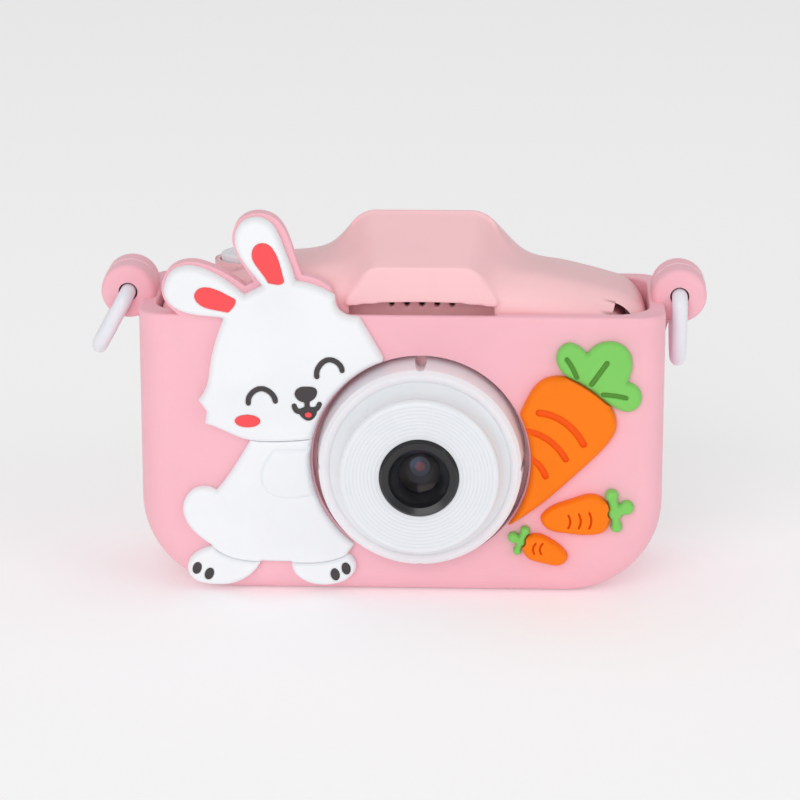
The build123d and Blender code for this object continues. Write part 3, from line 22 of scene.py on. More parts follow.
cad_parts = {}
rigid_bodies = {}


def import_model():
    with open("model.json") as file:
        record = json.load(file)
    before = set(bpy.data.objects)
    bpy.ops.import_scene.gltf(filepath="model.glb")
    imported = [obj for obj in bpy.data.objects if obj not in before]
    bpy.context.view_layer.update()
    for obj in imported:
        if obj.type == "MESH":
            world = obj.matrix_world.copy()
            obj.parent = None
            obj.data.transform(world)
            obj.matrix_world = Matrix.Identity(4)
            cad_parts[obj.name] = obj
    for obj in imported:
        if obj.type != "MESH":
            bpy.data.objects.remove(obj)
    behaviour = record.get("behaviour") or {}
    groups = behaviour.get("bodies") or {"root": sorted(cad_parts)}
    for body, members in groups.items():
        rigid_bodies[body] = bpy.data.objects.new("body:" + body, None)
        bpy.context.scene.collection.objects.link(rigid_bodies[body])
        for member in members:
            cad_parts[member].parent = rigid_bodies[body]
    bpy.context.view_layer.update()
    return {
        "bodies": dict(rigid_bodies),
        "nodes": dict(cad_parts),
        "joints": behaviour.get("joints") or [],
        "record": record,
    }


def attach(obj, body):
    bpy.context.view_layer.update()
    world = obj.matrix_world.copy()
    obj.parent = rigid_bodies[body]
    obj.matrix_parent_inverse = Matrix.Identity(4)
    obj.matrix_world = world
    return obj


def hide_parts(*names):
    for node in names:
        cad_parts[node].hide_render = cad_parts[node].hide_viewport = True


MM = 0.001
FRONT_Y = -15.5  # the sleeve's front, which every relief stands on
MAIN_BODY = "camera"
FRAME: dict[str, Any] = {}
log = logging.getLogger("camera")

Colour = tuple[int, int, int]


def linear(colour: Colour, alpha: float = 1.0) -> tuple[float, float, float, float]:
    """Turn a display colour into the linear values that a shader socket takes.

    Args:
        colour: Red, green and blue from 0 to 255.
        alpha: The fourth value, kept as it is.

    Returns:
        Linear red, green, blue and alpha.
    """
    def channel(value: int) -> float:
        """One channel's linear value."""
        share = value / 255
        return share / 12.92 if share <= 0.04045 else ((share + 0.055) / 1.055) ** 2.4

    return channel(colour[0]), channel(colour[1]), channel(colour[2]), alpha


def scaled(colour: Sequence[float], factor: float, extra: float = 0.0) -> tuple[float, ...]:
    """A linear colour made lighter or darker, up to full brightness."""
    return tuple(min(value * factor + extra, 1.0) for value in colour[:3]) + (1.0,)


# ------------------------------------------------------------------------------ shader writing
class Wire:
    """A shader output. Arithmetic on it adds Math nodes to its sheet."""

    def __init__(self, sheet: "ShaderSheet", socket: bpy.types.NodeSocket) -> None:
        """Wrap one output socket of a sheet."""
        self.sheet = sheet
        self.socket = socket

    def math(self, operation: str, *values: "Wire | float", swap: bool = False) -> "Wire":
        """Add one Math node.

        Args:
            operation: The node's operation.
            values: What follows this wire in the node's sockets.
            swap: Puts this wire after the first value.

        Returns:
            The node's result.
        """
        terms = [self, *values]
        if swap:
            terms[0], terms[1] = terms[1], terms[0]
        node = self.sheet.node("ShaderNodeMath", {"operation": operation}, dict(enumerate(terms)))
        return Wire(self.sheet, node.outputs[0])

    def __add__(self, other: "Wire | float") -> "Wire":
        """Sum."""
        return self.math("ADD", other)

    __radd__ = __add__

    def __sub__(self, other: "Wire | float") -> "Wire":
        """Difference."""
        return self.math("SUBTRACT", other)

    def __rsub__(self, other: "Wire | float") -> "Wire":
        """Difference from a number."""
        return self.math("SUBTRACT", other, swap=True)

    def __mul__(self, other: "Wire | float") -> "Wire":
        """Product."""
        return self.math("MULTIPLY", other)

    __rmul__ = __mul__

    def __truediv__(self, other: "Wire | float") -> "Wire":
        """Quotient."""
        return self.math("DIVIDE", other)

    def __pow__(self, other: "Wire | float") -> "Wire":
        """Power."""
        return self.math("POWER", other)

    def __abs__(self) -> "Wire":
        """Size without sign."""
        return self.math("ABSOLUTE")

    def sine(self) -> "Wire":
        """Sine of the value in radians."""
        return self.math("SINE")

    def below(self, limit: "Wire | float") -> "Wire":
        """One where the value is under the limit, and zero elsewhere."""
        return self.math("LESS_THAN", limit)

    def above(self, limit: "Wire | float") -> "Wire":
        """One where the value is over the limit, and zero elsewhere."""
        return self.math("GREATER_THAN", limit)

    def ramp(self, low: float, high: float) -> "Wire":
        """Zero at low and one at high, smooth between and level outside."""
        node = self.sheet.node("ShaderNodeMapRange", {"interpolation_type": "SMOOTHSTEP"},
                               {"Value": self, "From Min": low, "From Max": high})
        return Wire(self.sheet, node.outputs[0])


class ShaderSheet:
    """One material's node tree while it is written."""

    def __init__(self, name: str) -> None:
        """Start an empty tree.

        Args:
            name: The material's name.
        """
        self.material = bpy.data.materials.new(name)
        self.material.use_nodes = True
        self.tree = self.material.node_tree
        self.tree.nodes.clear()
        self._place: Wire | None = None

    def node(self, kind: str, settings: dict[str, Any] | None = None,
             sockets: dict[Any, Any] | None = None) -> bpy.types.Node:
        """Add a node, set its own settings first, then fill its sockets.

        Args:
            kind: The node's type name.
            settings: Attributes of the node. "stops" is a ramp's list of (place, colour).
            sockets: Input name or number to a Wire or a plain value.

        Returns:
            The node.
        """
        node = self.tree.nodes.new(kind)
        for key, value in (settings or {}).items():
            if key == "stops":
                self._stops(node, value)
            else:
                setattr(node, key, value)
        for key, value in (sockets or {}).items():
            if isinstance(value, Wire):
                self.tree.links.new(value.socket, node.inputs[key])
            else:
                node.inputs[key].default_value = value
        return node

    @staticmethod
    def _stops(node: bpy.types.Node, stops: Sequence[tuple[float, Sequence[float]]]) -> None:
        """Write a colour ramp's stops.

        Args:
            node: The ramp's node.
            stops: Place and colour of each stop.
        """
        ramp = node.color_ramp
        while len(ramp.elements) < len(stops):
            ramp.elements.new(0.5)
        for element, (place, colour) in zip(ramp.elements, stops):
            element.position = place
            element.color = colour

    def wire(self, node: bpy.types.Node, output: int | str = 0) -> Wire:
        """The named output of a node as a wire."""
        return Wire(self, node.outputs[output])

    @property
    def place(self) -> Wire:
        """The point's place on the piece, in metres."""
        if self._place is None:
            self._place = self.wire(self.node("ShaderNodeTexCoord"), "Object")
        return self._place

    def axes(self) -> tuple[Wire, Wire, Wire]:
        """The point's X, Y and Z in millimetres."""
        split = self.node("ShaderNodeSeparateXYZ", None, {0: self.place})
        return tuple(self.wire(split, n) * 1000.0 for n in range(3))

    def noise(self, size_mm: float, detail: float = 2.0, rough: float = 0.5) -> Wire:
        """Cloudy noise from 0 to 1 whose features are about that size."""
        node = self.node("ShaderNodeTexNoise", None, {
            "Vector": self.place, "Scale": 1000.0 / size_mm, "Detail": detail, "Roughness": rough})
        return self.wire(node, "Fac")

    def blend(self, share: Wire, first: Sequence[float] | Wire, second: Sequence[float] | Wire) -> Wire:
        """Mix two colours by a share from 0 to 1."""
        node = self.node("ShaderNodeMix", {"data_type": "RGBA"}, {0: share, 6: first, 7: second})
        return self.wire(node, 2)

    def bump(self, height: Wire, strength: float, reach_mm: float) -> Wire:
        """Turn a height from 0 to 1 into a bent normal.

        Args:
            height: The height field.
            strength: How strongly it acts.
            reach_mm: What a height of one stands for.

        Returns:
            The normal.
        """
        node = self.node("ShaderNodeBump", None, {
            "Strength": strength, "Distance": reach_mm * MM, "Height": height})
        return self.wire(node, "Normal")

    def surface(self, constants: dict[str, Any], wires: dict[str, Wire]) -> bpy.types.Material:
        """Close the tree with a Principled surface.

        Args:
            constants: Values that are the same all over.
            wires: Values that change over the surface.

        Returns:
            The finished material.
        """
        shader = self.node("ShaderNodeBsdfPrincipled", None, {**constants, **wires})
        self.node("ShaderNodeOutputMaterial", None, {"Surface": self.wire(shader)})
        return self.material


# ------------------------------------------------------------------------------ finishes
@dataclass(frozen=True)
class Finish:
    """What a piece's surface is made of. Each kind of finish writes its own material once."""

    name: str
    slot: str
    colour: Colour

    def material(self) -> bpy.types.Material:
        """The finish's material, written on its first use."""
        made = bpy.data.materials.get(self.name)
        return made if made else self.write()

    def write(self) -> bpy.types.Material:
        """Write the material's nodes."""
        raise NotImplementedError


@dataclass(frozen=True)
class Silicone(Finish):
    """Soft matte rubber: a faint cloud of colour, a fine grain, and light that enters a little."""

    depth_colour: Colour = (250, 150, 165)
    roughness: float = 0.52
    grain: float = 0.05
    depth: float = 0.12
    groove_colour: Colour | None = None
    sheen: float = 0.12
    gloss: float = 0.4

    def write(self) -> bpy.types.Material:
        """Write the silicone's nodes.

        Returns:
            The material.
        """
        sheet = ShaderSheet(self.name)
        base = linear(self.colour)
        shade = scaled(base, 0.93)
        cloud = sheet.noise(14.0, 3.0)
        colour = sheet.blend(cloud.ramp(0.35, 0.75) * 0.6, base, shade)
        if self.groove_colour:
            mark = sheet.wire(sheet.node("ShaderNodeAttribute", {"attribute_name": "groove"}), "Fac")
            colour = sheet.blend(mark.ramp(0.25, 0.8), colour, linear(self.groove_colour))
        fine = sheet.noise(0.22, 2.0)
        height = fine * 0.7 + sheet.noise(1.6, 1.0) * 0.3
        return sheet.surface(
            {"Subsurface Weight": self.depth, "Subsurface Radius": (1.0, 0.55, 0.5),
             "Subsurface Scale": 1.2 * MM, "Sheen Weight": self.sheen, "Sheen Roughness": 0.6,
             "Specular IOR Level": self.gloss},
            {"Base Color": colour, "Roughness": self.roughness + (fine - 0.5) * 0.16,
             "Normal": sheet.bump(height, 0.35, self.grain)})


@dataclass(frozen=True)
class MouldedPlastic(Finish):
    """Hard moulded plastic with a fine spark texture, or smooth and glossy."""

    roughness: float = 0.4
    texture_mm: float = 0.25
    texture: float = 0.02
    coat: float = 0.0
    depth: float = 0.04
    depth_mm: float = 0.8
    parting_y: float | None = None

    def write(self) -> bpy.types.Material:
        """Write the plastic's nodes.

        Returns:
            The material.
        """
        sheet = ShaderSheet(self.name)
        base = linear(self.colour)
        shade = scaled(base, 0.94)
        fine = sheet.noise(self.texture_mm, 2.0)
        wide = sheet.noise(9.0, 2.0)
        relief = fine
        if self.parting_y is not None:
            _, y, _ = sheet.axes()
            relief = fine - (1.0 - abs(y - self.parting_y).ramp(0.02, 0.16)) * 6.0
        return sheet.surface(
            {"Subsurface Weight": self.depth, "Subsurface Radius": (1.0, 0.7, 0.6),
             "Subsurface Scale": self.depth_mm * MM, "Coat Weight": self.coat, "Coat Roughness": 0.12,
             "Specular IOR Level": 0.5},
            {"Base Color": sheet.blend(wide.ramp(0.4, 0.8) * 0.4, base, shade),
             "Roughness": self.roughness + (wide - 0.5) * 0.08,
             "Normal": sheet.bump(relief, 0.3, self.texture)})


@dataclass(frozen=True)
class Aperture(Finish):
    """Black disc with a small dark red eye at its centre."""

    centre: tuple[float, float] = (3.4, 24.5)
    eye_r: float = 0.55

    def write(self) -> bpy.types.Material:
        """Write the disc's nodes.

        Returns:
            The material.
        """
        sheet = ShaderSheet(self.name)
        x, _, z = sheet.axes()
        out = ((x - self.centre[0]) ** 2.0 + (z - self.centre[1]) ** 2.0) ** 0.5
        grain = sheet.noise(0.4, 2.0)
        return sheet.surface(
            {"Coat Weight": 0.6, "Coat Roughness": 0.1},
            {"Base Color": sheet.blend(out.ramp(self.eye_r, self.eye_r + 0.12), linear(self.colour),
                                       linear((14, 12, 14))),
             "Roughness": 0.3 + grain * 0.2})


@dataclass(frozen=True)
class CoatedGlass(Finish):
    """Clear optical glass with a thin coating."""

    film_nm: float = 110.0

    def write(self) -> bpy.types.Material:
        """Write the glass's nodes.

        Returns:
            The material.
        """
        sheet = ShaderSheet(self.name)
        smear = sheet.noise(2.5, 3.0)
        return sheet.surface(
            {"Base Color": linear(self.colour), "Transmission Weight": 1.0, "IOR": 1.52,
             "Thin Film Thickness": self.film_nm, "Thin Film IOR": 1.38},
            {"Roughness": 0.015 + smear * 0.03})


@dataclass(frozen=True)
class ScreenGlass(Finish):
    """Dark polished cover whose picture area is a shade lighter than its border."""

    centre: tuple[float, float] = (10.5, 24.5)
    picture: tuple[float, float] = (20.4, 15.4)

    def write(self) -> bpy.types.Material:
        """Write the cover's nodes.

        Returns:
            The material.
        """
        sheet = ShaderSheet(self.name)
        x, _, z = sheet.axes()
        across = abs(x - self.centre[0]).below(self.picture[0])
        inside = across * abs(z - self.centre[1]).below(self.picture[1])
        smear = sheet.noise(7.0, 4.0, 0.6)
        colour = sheet.blend(inside, linear(self.colour), linear((34, 37, 46)))
        return sheet.surface(
            {"Coat Weight": 1.0, "Coat Roughness": 0.03, "Specular IOR Level": 0.6},
            {"Base Color": colour, "Roughness": 0.08 + smear.ramp(0.45, 0.8) * 0.12})


@dataclass(frozen=True)
class WornSteel(Finish):
    """Plain or brushed metal, with fine lines along X and a little tarnish."""

    roughness: float = 0.3

    def write(self) -> bpy.types.Material:
        """Write the metal's nodes.

        Returns:
            The material.
        """
        sheet = ShaderSheet(self.name)
        stretch = sheet.node("ShaderNodeMapping", None, {
            "Vector": sheet.place, "Scale": (300.0, 6000.0, 6000.0)})
        lines = sheet.wire(sheet.node("ShaderNodeTexNoise", None, {
            "Vector": sheet.wire(stretch), "Scale": 1.0, "Detail": 2.0}), "Fac")
        tarnish = sheet.noise(3.0, 3.0)
        base = linear(self.colour)
        dull = scaled(base, 0.7)
        return sheet.surface(
            {"Metallic": 1.0},
            {"Base Color": sheet.blend(tarnish.ramp(0.5, 0.8) * 0.5, base, dull),
             "Roughness": self.roughness + (lines - 0.5) * 0.2,
             "Normal": sheet.bump(lines, 0.2, 0.01)})


@dataclass(frozen=True)
class SolderMask(Finish):
    """Circuit board lacquer over a grid of copper tracks."""

    def write(self) -> bpy.types.Material:
        """Write the board's nodes.

        Returns:
            The material.
        """
        sheet = ShaderSheet(self.name)
        x, _, z = sheet.axes()
        wander = sheet.noise(5.0, 1.0) * 6.0
        track = (((x + wander) * 3.1).sine() * ((z + wander) * 2.3).sine()).ramp(0.1, 0.3)
        base = linear(self.colour)
        copper = scaled(base, 1.8, 0.01)
        return sheet.surface(
            {"Coat Weight": 0.6, "Coat Roughness": 0.15},
            {"Base Color": sheet.blend(track, base, copper),
             "Roughness": 0.45 - track * 0.12,
             "Normal": sheet.bump(track, 0.5, 0.03)})


class Palette(Enum):
    """Every finish on the camera."""

    PINK_SLEEVE = Silicone("sleeve_rubber", "pink_silicone", (250, 188, 200))
    PINK_CASE = MouldedPlastic("case_plastic", "pink_case", (253, 202, 206), roughness=0.36,
                               parting_y=1.0)
    # Same pink silicone as the sleeve, made lighter: painted highlight along the mould bead round each
    # strap loop.
    BEAD_HIGHLIGHT = Silicone("bead_painted_highlight", "pink_silicone", (255, 214, 222))
    RABBIT = Silicone("white_rubber", "rabbit_white", (243, 245, 248), depth=0.08)
    INLAY_RED = Silicone("red_rubber", "inlay_red", (255, 78, 82))
    INLAY_BLACK = Silicone("black_rubber", "inlay_black", (62, 56, 58), depth=0.0)
    CARROT = Silicone("orange_rubber", "carrot_orange", (255, 127, 0), groove_colour=(248, 100, 2),
                      sheen=0.02, gloss=0.22)
    LEAF = Silicone("green_rubber", "leaf_green", (126, 208, 94), groove_colour=(88, 152, 44))
    WHITE = MouldedPlastic("white_gloss", "white_plastic", (233, 236, 240), roughness=0.26,
                           texture=0.006)
    LENS_RING = MouldedPlastic("frosted_white", "white_plastic", (240, 237, 241), roughness=0.32,
                               texture=0.006, depth=0.6, depth_mm=2.4)
    RING = MouldedPlastic("white_ring", "white_plastic", (236, 237, 244), roughness=0.33,
                          texture=0.006, depth=0.2)
    BLACK = MouldedPlastic("black_gloss", "black_plastic", (31, 31, 34), roughness=0.17,
                           texture=0.005, depth=0.0)
    MATTE_BLACK = MouldedPlastic("black_matt", "matte_black", (24, 24, 26), roughness=0.6, depth=0.0)
    DARK_RED = Aperture("red_depth", "dark_red", (150, 40, 34))
    LENS_GLASS = CoatedGlass("lens_coating", "optical_glass", (226, 232, 246))
    SCREEN = ScreenGlass("screen_cover", "screen_window", (12, 12, 14))
    DISPLAY = MouldedPlastic("screen_panel", "display", (20, 22, 30), roughness=0.2, depth=0.0)
    STEEL = WornSteel("plated_steel", "steel", (186, 188, 192))
    FOIL = WornSteel("cell_foil", "cell_wrap", (168, 172, 178), roughness=0.42)
    BOARD = SolderMask("board_lacquer", "circuit_green", (24, 92, 58))
    LEGEND = MouldedPlastic("legend_grey", "matte_black", (120, 112, 118), roughness=0.55, depth=0.0)
    # A little darker than the barrel's own white plastic: painted shade in the fine grooves of the barrel's
    # face.
    BARREL_RIDGE_SHADED = MouldedPlastic("barrel_ridge", "white_plastic", (226, 229, 234), roughness=0.3,
                                  texture=0.004)


# ------------------------------------------------------------------------------ mesh helpers
def node_object(name: str) -> bpy.types.Object:
    """The frame's object for a CAD node."""
    return FRAME["nodes"][name]


def link(name: str, mesh: bpy.types.Mesh) -> bpy.types.Object:
    """Put a mesh into the scene at the origin under that name."""
    piece = bpy.data.objects.new(name, mesh)
    bpy.context.scene.collection.objects.link(piece)
    return piece


def dress(piece: bpy.types.Object, finish: Palette) -> None:
    """Give a piece or a CAD node one finish all over."""
    piece.data.materials.clear()
    piece.data.materials.append(finish.value.material())


def dress_nodes(finishes: dict[str, Palette]) -> None:
    """Give each named CAD node its finish."""
    for node, finish in finishes.items():
        dress(node_object(node), finish)


def mount(piece: bpy.types.Object, body: str) -> None:
    """Set a piece on the body that carries it."""
    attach(piece, body)


def search_tree(points: Iterable[Sequence[float]]) -> KDTree:
    """Index points for finding the nearest one.

    Args:
        points: The points, which are numbered in their order.

    Returns:
        The balanced tree.
    """
    places = list(points)
    tree = KDTree(len(places))
    for number, place in enumerate(places):
        tree.insert(place, number)
    tree.balance()
    return tree


def merged_copy(node: str) -> bpy.types.Mesh:
    """A copy of a CAD node's mesh in which touching triangles share their corners.

    Args:
        node: The CAD node.

    Returns:
        The joined mesh.
    """
    source = node_object(node)
    mesh = bpy.data.meshes.new(node + "_joined")
    work = bmesh.new()
    work.from_mesh(source.data)
    bmesh.ops.transform(work, matrix=source.matrix_world, verts=work.verts)
    bmesh.ops.remove_doubles(work, verts=work.verts, dist=2e-7)
    work.to_mesh(mesh)
    work.free()
    return mesh


def baked(piece: bpy.types.Object, name: str) -> bpy.types.Mesh:
    """The mesh that a piece's modifiers give, as plain data.

    Args:
        piece: The object with live modifiers.
        name: The new mesh's name.

    Returns:
        The plain mesh.
    """
    graph = bpy.context.evaluated_depsgraph_get()
    mesh = bpy.data.meshes.new_from_object(piece.evaluated_get(graph))
    mesh.name = name
    return mesh


def evenly_meshed(node: str, voxel: float, smoothing: int) -> bpy.types.Mesh:
    """A CAD node's solid with small even faces, its sharp edges eased.

    Args:
        node: The CAD node.
        voxel: Size of the faces.
        smoothing: Passes of smoothing.

    Returns:
        The new mesh.
    """
    work = link(node + "_work", merged_copy(node))
    remesh = work.modifiers.new("remesh", "REMESH")
    remesh.mode = "VOXEL"
    remesh.voxel_size = voxel * MM
    remesh.use_smooth_shade = True
    if smoothing:
        ease = work.modifiers.new("ease", "SMOOTH")
        ease.factor = 0.5
        ease.iterations = smoothing
    mesh = baked(work, node + "_soft")
    bpy.data.objects.remove(work)
    return mesh


def points_of(mesh: bpy.types.Mesh) -> np.ndarray:
    """A mesh's points in millimetres, one row each."""
    flat = np.empty(len(mesh.vertices) * 3, dtype=np.float64)
    mesh.vertices.foreach_get("co", flat)
    return flat.reshape(-1, 3) / MM


def set_points(mesh: bpy.types.Mesh, points: np.ndarray) -> None:
    """Write a mesh's points back, from millimetres."""
    mesh.vertices.foreach_set("co", (points * MM).ravel())
    mesh.update()


def outline_box(edges: Sequence[bmesh.types.BMEdge]) -> tuple[float, float, float, float]:
    """A loop of edges' lowest and highest X, then its lowest and highest Z."""
    across = [v.co.x for edge in edges for v in edge.verts]
    up = [v.co.z for edge in edges for v in edge.verts]
    return min(across), max(across), min(up), max(up)


def rim_of(node: str, spacing: float = 0.12) -> list[tuple[float, float, float]]:
    """The outer edge of a raised node's front face, leaving out the pockets in it.

    Args:
        node: The CAD node, a plate parallel to the front.
        spacing: Distance between the points given.

    Returns:
        Points (x, 0, z) along the edge, in millimetres.
    """
    level, facing = 1e-5, -0.99
    mesh = merged_copy(node)
    work = bmesh.new()
    work.from_mesh(mesh)
    top = min(v.co.y for v in work.verts)
    cap = {f.index for f in work.faces
           if f.normal.y < facing and abs(f.calc_center_median().y - top) < level}
    groups = connected(e for e in work.edges if sum(f.index in cap for f in e.link_faces) == 1)
    boxes = [outline_box(group) for group in groups]
    rim: list[tuple[float, float, float]] = []
    for group, box in zip(groups, boxes):
        if any(o[0] < box[0] and o[1] > box[1] and o[2] < box[2] and o[3] > box[3] for o in boxes):
            continue
        for edge in group:
            a, b = (v.co / MM for v in edge.verts)
            steps = max(1, int((b - a).length / spacing))
            places = [a + (b - a) * n / steps for n in range(steps + 1)]
            rim += [(place.x, 0.0, place.z) for place in places]
    work.free()
    bpy.data.meshes.remove(mesh)
    return rim


def connected(edges: Iterable[bmesh.types.BMEdge]) -> list[list[bmesh.types.BMEdge]]:
    """Group edges into the loops that they form.

    Args:
        edges: Edges of one mesh.

    Returns:
        Lists of edges, one for each loop.
    """
    left = set(edges)
    groups = []
    while left:
        group = []
        front = [left.pop()]
        while front:
            edge = front.pop()
            group.append(edge)
            near = {e for v in edge.verts for e in v.link_edges} & left
            left -= near
            front.extend(near)
        groups.append(group)
    return groups


def cut(work: bmesh.types.BMesh, place: Sequence[float],
        keep: Sequence[float]) -> bmesh.types.BMesh:
    """Cut a closed mesh along a plane and close it there.

    Args:
        work: The mesh, changed in place.
        place: A point on the plane, in millimetres.
        keep: The direction from the plane towards the part that stays.

    Returns:
        The same mesh.
    """
    geometry = [*work.verts, *work.edges, *work.faces]
    done = bmesh.ops.bisect_plane(work, geom=geometry, dist=1e-7, plane_co=Vector(place) * MM,
                                  plane_no=Vector(keep), clear_inner=True)
    rim = [e for e in done["geom_cut"] if isinstance(e, bmesh.types.BMEdge) and e.is_boundary]
    filled = bmesh.ops.triangle_fill(work, edges=rim, use_beauty=True, normal=-Vector(keep))
    for face in (f for f in filled["geom"] if isinstance(f, bmesh.types.BMFace)):
        if face.normal.dot(Vector(keep)) > 0:
            face.normal_flip()
    return work


class Crown:
    """How far a soft relief is raised over each point of the front, as a share of its CAD rise."""

    SWELL_REACH = 3.0  # the swell builds up over this many widths of the rounding

    def __init__(self, rim: Sequence[Sequence[float]], edge: float, swell: float,
                 foot: float = 0.35) -> None:
        """Index the rim.

        Args:
            rim: Points (x, 0, z) on the free edge.
            edge: Width of the rounding.
            swell: Extra height in the middle, as a share.
            foot: Height of the wall under the rounding, as a share.
        """
        self.edge = edge
        self.swell = swell
        self.foot = foot
        self.tree = search_tree(rim)

    def from_rim(self, x: float, z: float) -> float:
        """Distance from a point of the front to the free edge."""
        return self.tree.find((x, 0.0, z))[2]

    def share(self, x: float, z: float) -> float:
        """The height at one point.

        Args:
            x: The point's X in millimetres.
            z: The point's Z in millimetres.

        Returns:
            The height as a share of the CAD rise.
        """
        distance = self.from_rim(x, z)
        across = min(distance / self.edge, 1.0)
        rounding = self.foot + (1 - self.foot) * math.sqrt(max(0.0, 1 - (1 - across) ** 2))
        swelling = 1 - math.exp(-distance / (self.SWELL_REACH * self.edge))
        return rounding * (1 + self.swell * swelling)

    def raise_points(self, points: np.ndarray) -> np.ndarray:
        """Raise or lower every point in front of the sleeve by its share.

        Args:
            points: One row for each point, in millimetres.

        Returns:
            The raised points.
        """
        out = points.copy()
        for row in out:
            if row[1] < FRONT_Y:
                row[1] = FRONT_Y + (row[1] - FRONT_Y) * self.share(row[0], row[2])
        return out


# ------------------------------------------------------------------------------ geometry nodes
class GeometrySheet:
    """A Geometry Nodes tree while it is written, with named inputs."""

    CENTRE = {"Centre X": 0.0, "Centre Y": 0.0, "Centre Z": 0.0}

    def __init__(self, name: str, inputs: dict[str, float]) -> None:
        """Start a tree with number inputs, three for the centre among them.

        Args:
            name: The tree's name.
            inputs: Label and default of each input of its own.
        """
        self.tree = bpy.data.node_groups.new(name, "GeometryNodeTree")
        self.sockets: dict[str, str] = {}
        for label, value in {**inputs, **self.CENTRE}.items():
            socket = self.tree.interface.new_socket(label, in_out="INPUT",
                                                    socket_type="NodeSocketFloat")
            socket.default_value = value
            self.sockets[label] = socket.identifier
        self.tree.interface.new_socket("Geometry", in_out="OUTPUT", socket_type="NodeSocketGeometry")
        self.entry = self.tree.nodes.new("NodeGroupInput")

    def node(self, kind: str, settings: dict[str, Any] | None = None,
             sockets: dict[Any, Any] | None = None) -> bpy.types.Node:
        """Add a node, set its settings, then fill or link its sockets.

        Args:
            kind: The node's type name.
            settings: Attributes of the node.
            sockets: Input name or number to an output or a plain value.

        Returns:
            The node.
        """
        node = self.tree.nodes.new(kind)
        for key, value in (settings or {}).items():
            setattr(node, key, value)
        for key, value in (sockets or {}).items():
            if isinstance(value, bpy.types.NodeSocket):
                self.tree.links.new(value, node.inputs[key])
            else:
                node.inputs[key].default_value = value
        return node

    def given(self, label: str) -> bpy.types.NodeSocket:
        """The named input."""
        return self.entry.outputs[label]

    def vector(self, sockets: dict[int, Any]) -> bpy.types.NodeSocket:
        """A vector from up to three numbers."""
        return self.node("ShaderNodeCombineXYZ", None, sockets).outputs[0]

    def moved(self, geometry: bpy.types.NodeSocket, **changes: Any) -> bpy.types.NodeSocket:
        """The geometry after a Translation, Rotation or Scale."""
        return self.node("GeometryNodeTransform", None, {"Geometry": geometry, **changes}).outputs[0]

    def wired(self, curve: bpy.types.NodeSocket, sides: int, capped: bool) -> bpy.types.NodeSocket:
        """Lay a round wire along a curve, as thick as the Wire input says.

        Args:
            curve: The curve.
            sides: How many sides the wire's section has.
            capped: Whether its ends are closed.

        Returns:
            The wire's mesh.
        """
        section = self.node("GeometryNodeCurvePrimitiveCircle", None, {
            "Resolution": sides, "Radius": self.given("Wire")})
        wire = self.node("GeometryNodeCurveToMesh", None, {
            "Curve": curve, "Profile Curve": section.outputs[0], "Fill Caps": capped})
        return wire.outputs[0]

    def close(self, geometry: bpy.types.NodeSocket, finish: Palette) -> None:
        """Stand a flat shape up at the centre inputs, and end in Realize Instances and Set Material.

        Args:
            geometry: The shape, drawn flat on the ground.
            finish: What it is made of.
        """
        centre = self.vector({number: self.given(label) for number, label in enumerate(self.CENTRE)})
        stood = self.moved(geometry, Translation=centre, Rotation=(math.pi / 2, 0.0, 0.0))
        real = self.node("GeometryNodeRealizeInstances", None, {0: stood})
        dressed = self.node("GeometryNodeSetMaterial", None, {
            "Geometry": real.outputs[0], "Material": finish.value.material()})
        end = self.tree.nodes.new("NodeGroupOutput")
        self.tree.links.new(dressed.outputs[0], end.inputs[0])

    def make(self, name: str, values: dict[str, float], centre: Sequence[float]) -> bpy.types.Object:
        """Run the tree with those inputs and keep the result as a plain piece.

        Args:
            name: The piece's name.
            values: Input label to value, with lengths in metres.
            centre: Where the piece's middle goes, in millimetres.

        Returns:
            The piece, with no modifier left on it.
        """
        places = {label: place * MM for label, place in zip(self.CENTRE, centre)}
        host = link(name + "_host", bpy.data.meshes.new(name + "_host"))
        modifier = host.modifiers.new("make", "NODES")
        modifier.node_group = self.tree
        for label, value in {**values, **places}.items():
            modifier[self.sockets[label]] = float(value)
        mesh = baked(host, name)
        bpy.data.objects.remove(host)
        for face in mesh.polygons:
            face.use_smooth = True
        return link(name, mesh)


